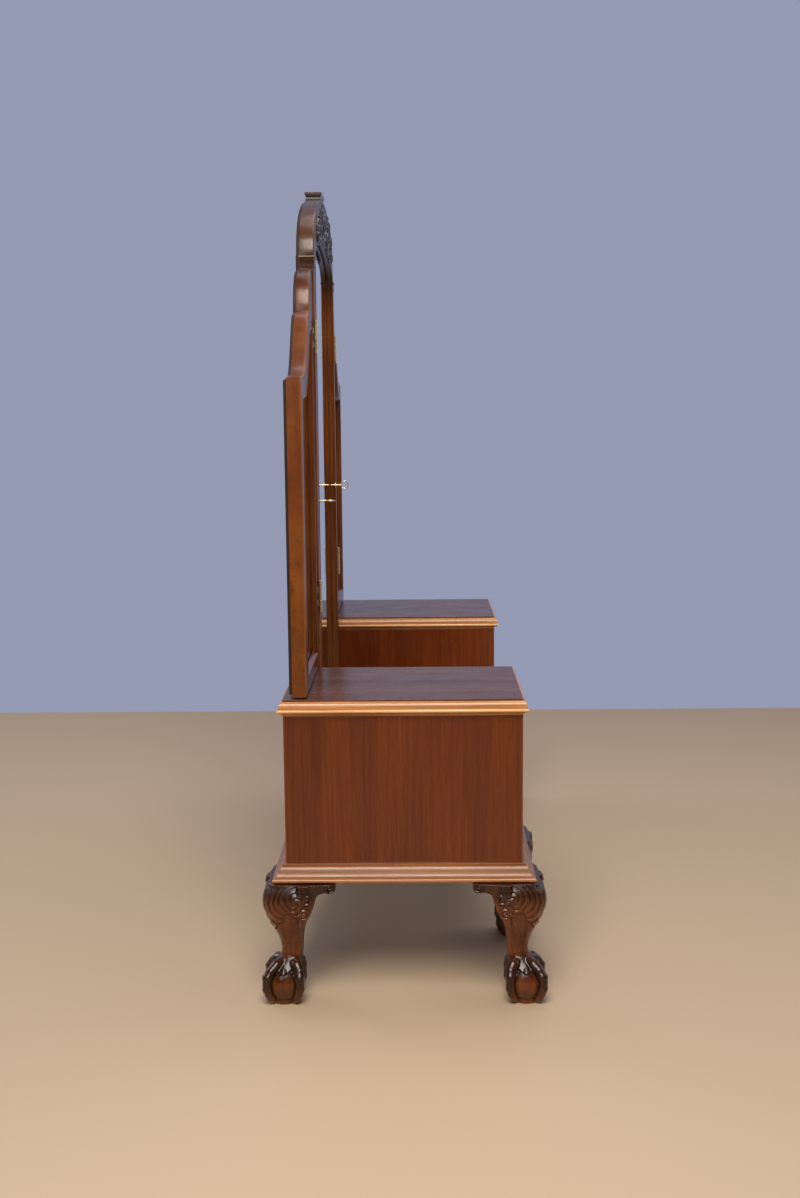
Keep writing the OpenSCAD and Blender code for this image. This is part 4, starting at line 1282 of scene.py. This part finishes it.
def make_escutcheons(mats):
    lo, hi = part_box("key_escutcheons")
    rim = [(2.6, 0), (7, 0), (7, 0.5), (6.4, 1.0), (5.6, 0.7), (4.6, 0.6), (3.6, 1.1), (2.6, 1.1), (2.5, 0)]
    parts = []
    for x in (lo.x + 7 * MM, hi.x - 7 * MM):
        parts.append(turned("escutcheon", millimetres(rim), (x, hi.y, (lo.z + hi.z) / 2), (0, -1, 0), 32))
    finish_piece(joined("key_escutcheon_rings", parts), "table", mats["brass"], "brass", "key_escutcheons")


# ---------------------------------------------------------------- assembly

def make_materials():
    red = dict(dark=(0.088, 0.0135, 0.0008), mid=(0.132, 0.0225, 0.0013), light=(0.185, 0.037, 0.0025))
    warm = dict(dark=(0.095, 0.017, 0.0012), mid=(0.185, 0.040, 0.003), light=(0.290, 0.076, 0.008))
    # gold: the top moulding's light tone is partly lighter, worn wood and partly a painted highlight for the sheen on
    # the ovolo
    moulding_tone_and_painted_highlight = dict(dark=(0.36, 0.135, 0.036), mid=(0.60, 0.265, 0.092), light=(0.76, 0.40, 0.17))
    # amber: the base moulding's tone is partly its own lighter wood and partly a painted highlight for the sheen along
    # it
    base_moulding_tone_and_painted_highlight = dict(dark=(0.17, 0.050, 0.010), mid=(0.28, 0.098, 0.026), light=(0.40, 0.165, 0.055))
    brown = dict(dark=(0.070, 0.014, 0.0015), mid=(0.140, 0.034, 0.003), light=(0.230, 0.068, 0.008))
    deep = dict(dark=(0.050, 0.014, 0.006), mid=(0.095, 0.030, 0.012), light=(0.140, 0.050, 0.020))
    oak = dict(dark=(0.26, 0.15, 0.06), mid=(0.36, 0.22, 0.10), light=(0.45, 0.30, 0.15), gloss=0.5, coat=0.0)
    stain_and_painted_shade = dict(dark=(0.012, 0.006, 0.004), mid=(0.022, 0.011, 0.007), light=(0.035, 0.018, 0.011), gloss=0.5,
                 coat=0.0)
    return {
        "side": wood("mahogany_side", **red),
        "side_x": wood("mahogany_platform", **red, gloss=0.3),
        "top": wood("mahogany_top", **deep, gloss=0.22, coat=0.2),
        "moulding": wood("mahogany_moulding_and_painted_highlight", **moulding_tone_and_painted_highlight, gloss=0.22),
        "moulding_low": wood("mahogany_base_moulding_and_painted_highlight", **base_moulding_tone_and_painted_highlight, gloss=0.24),
        # carved=True mixes in the painted shade that darkens the frames towards their tops
        "frame": wood("mahogany_frame", **brown, figure=1.6, gloss=0.26, coat=0.22, carved=True),
        "cap": wood("mahogany_cap", dark=(0.010, 0.004, 0.002), mid=(0.022, 0.008, 0.004),
                    light=(0.045, 0.016, 0.007), gloss=0.22),
        "carved": wood("mahogany_carved", dark=(0.060, 0.013, 0.002), mid=(0.150, 0.034, 0.003),
                       light=(0.230, 0.062, 0.008), gloss=0.21, carved=True, coat=0.28),
        # painted shade: the crest's near-black wood stands for the shadow it lies in
        "crest": wood("mahogany_crest_painted_shade", dark=(0.007, 0.003, 0.002), mid=(0.014, 0.006, 0.003),
                      light=(0.030, 0.012, 0.005), gloss=0.24, carved=True, coat=0.6),
        "front": wood("drawer_front_veneer", **warm, figure=2.0),
        "oak": wood("drawer_oak", **oak),
        "oak_x": wood("dust_board_oak", **oak),
        "back": wood("backboard_stain", **stain_and_painted_shade),
        "back_z": wood("back_panel_stain", **stain_and_painted_shade),
        "brass": brass(),
        "steel": steel(),
        "mirror": mirror_silver(),
    }


def make_mirror(label, outline, place, face_y, sides, mats, cad, body):
    """One mirror: frame, plate glass and backboard."""
    mirror_frame(f"{label}_moulded_frame", outline, place, face_y, sides, mats["frame"], f"{cad}_frame", body)
    bevelled_glass(f"{label}_bevelled_glass", outline, place, mats["mirror"], f"{cad}_glass", body)
    backboard(f"{label}_back", outline, place, mats["back"], f"{cad}_backboard", body)


def main():
    make_camera()
    make_stage()
    mats = make_materials()
    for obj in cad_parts.values():
        obj.data.materials.clear()
        obj.data.materials.append(mats["steel"])
    for s in SIDES:
        make_pedestal(s, mats)
        make_carcase(s, mats)
    make_platform(mats)
    make_mirror("centre", centre_outline, lambda x, y, z: (x, y, z), FACE_Y, SIDES, mats, "centre", "table")
    for s in SIDES:
        sign = 1 if s == "right" else -1
        place = lambda x, y, z, sign=sign: (sign * (W_LO.x + x), y, z)
        make_mirror(f"{s}_wing", wing_outline, place, WING_FACE_Y, [s], mats, f"{s}_wing", f"{s}_wing")
        shoulder_block(s, mats["frame"])
        hinge_leaf(s, "fixed_leaves", 0, -1, "table", mats)
        hinge_leaf(s, "wing_leaves", 1, 1, f"{s}_wing", mats)
        make_key(s, mats)
        for level in LEVELS:
            drawer_front(s, level, mats["front"])
            drawer_tray(s, level, mats["oak"])
            drawer_handle(s, level, mats["brass"])
    make_escutcheons(mats)
    make_legs(mats["carved"])
    make_crest(mats["crest"], mats["cap"])


main()
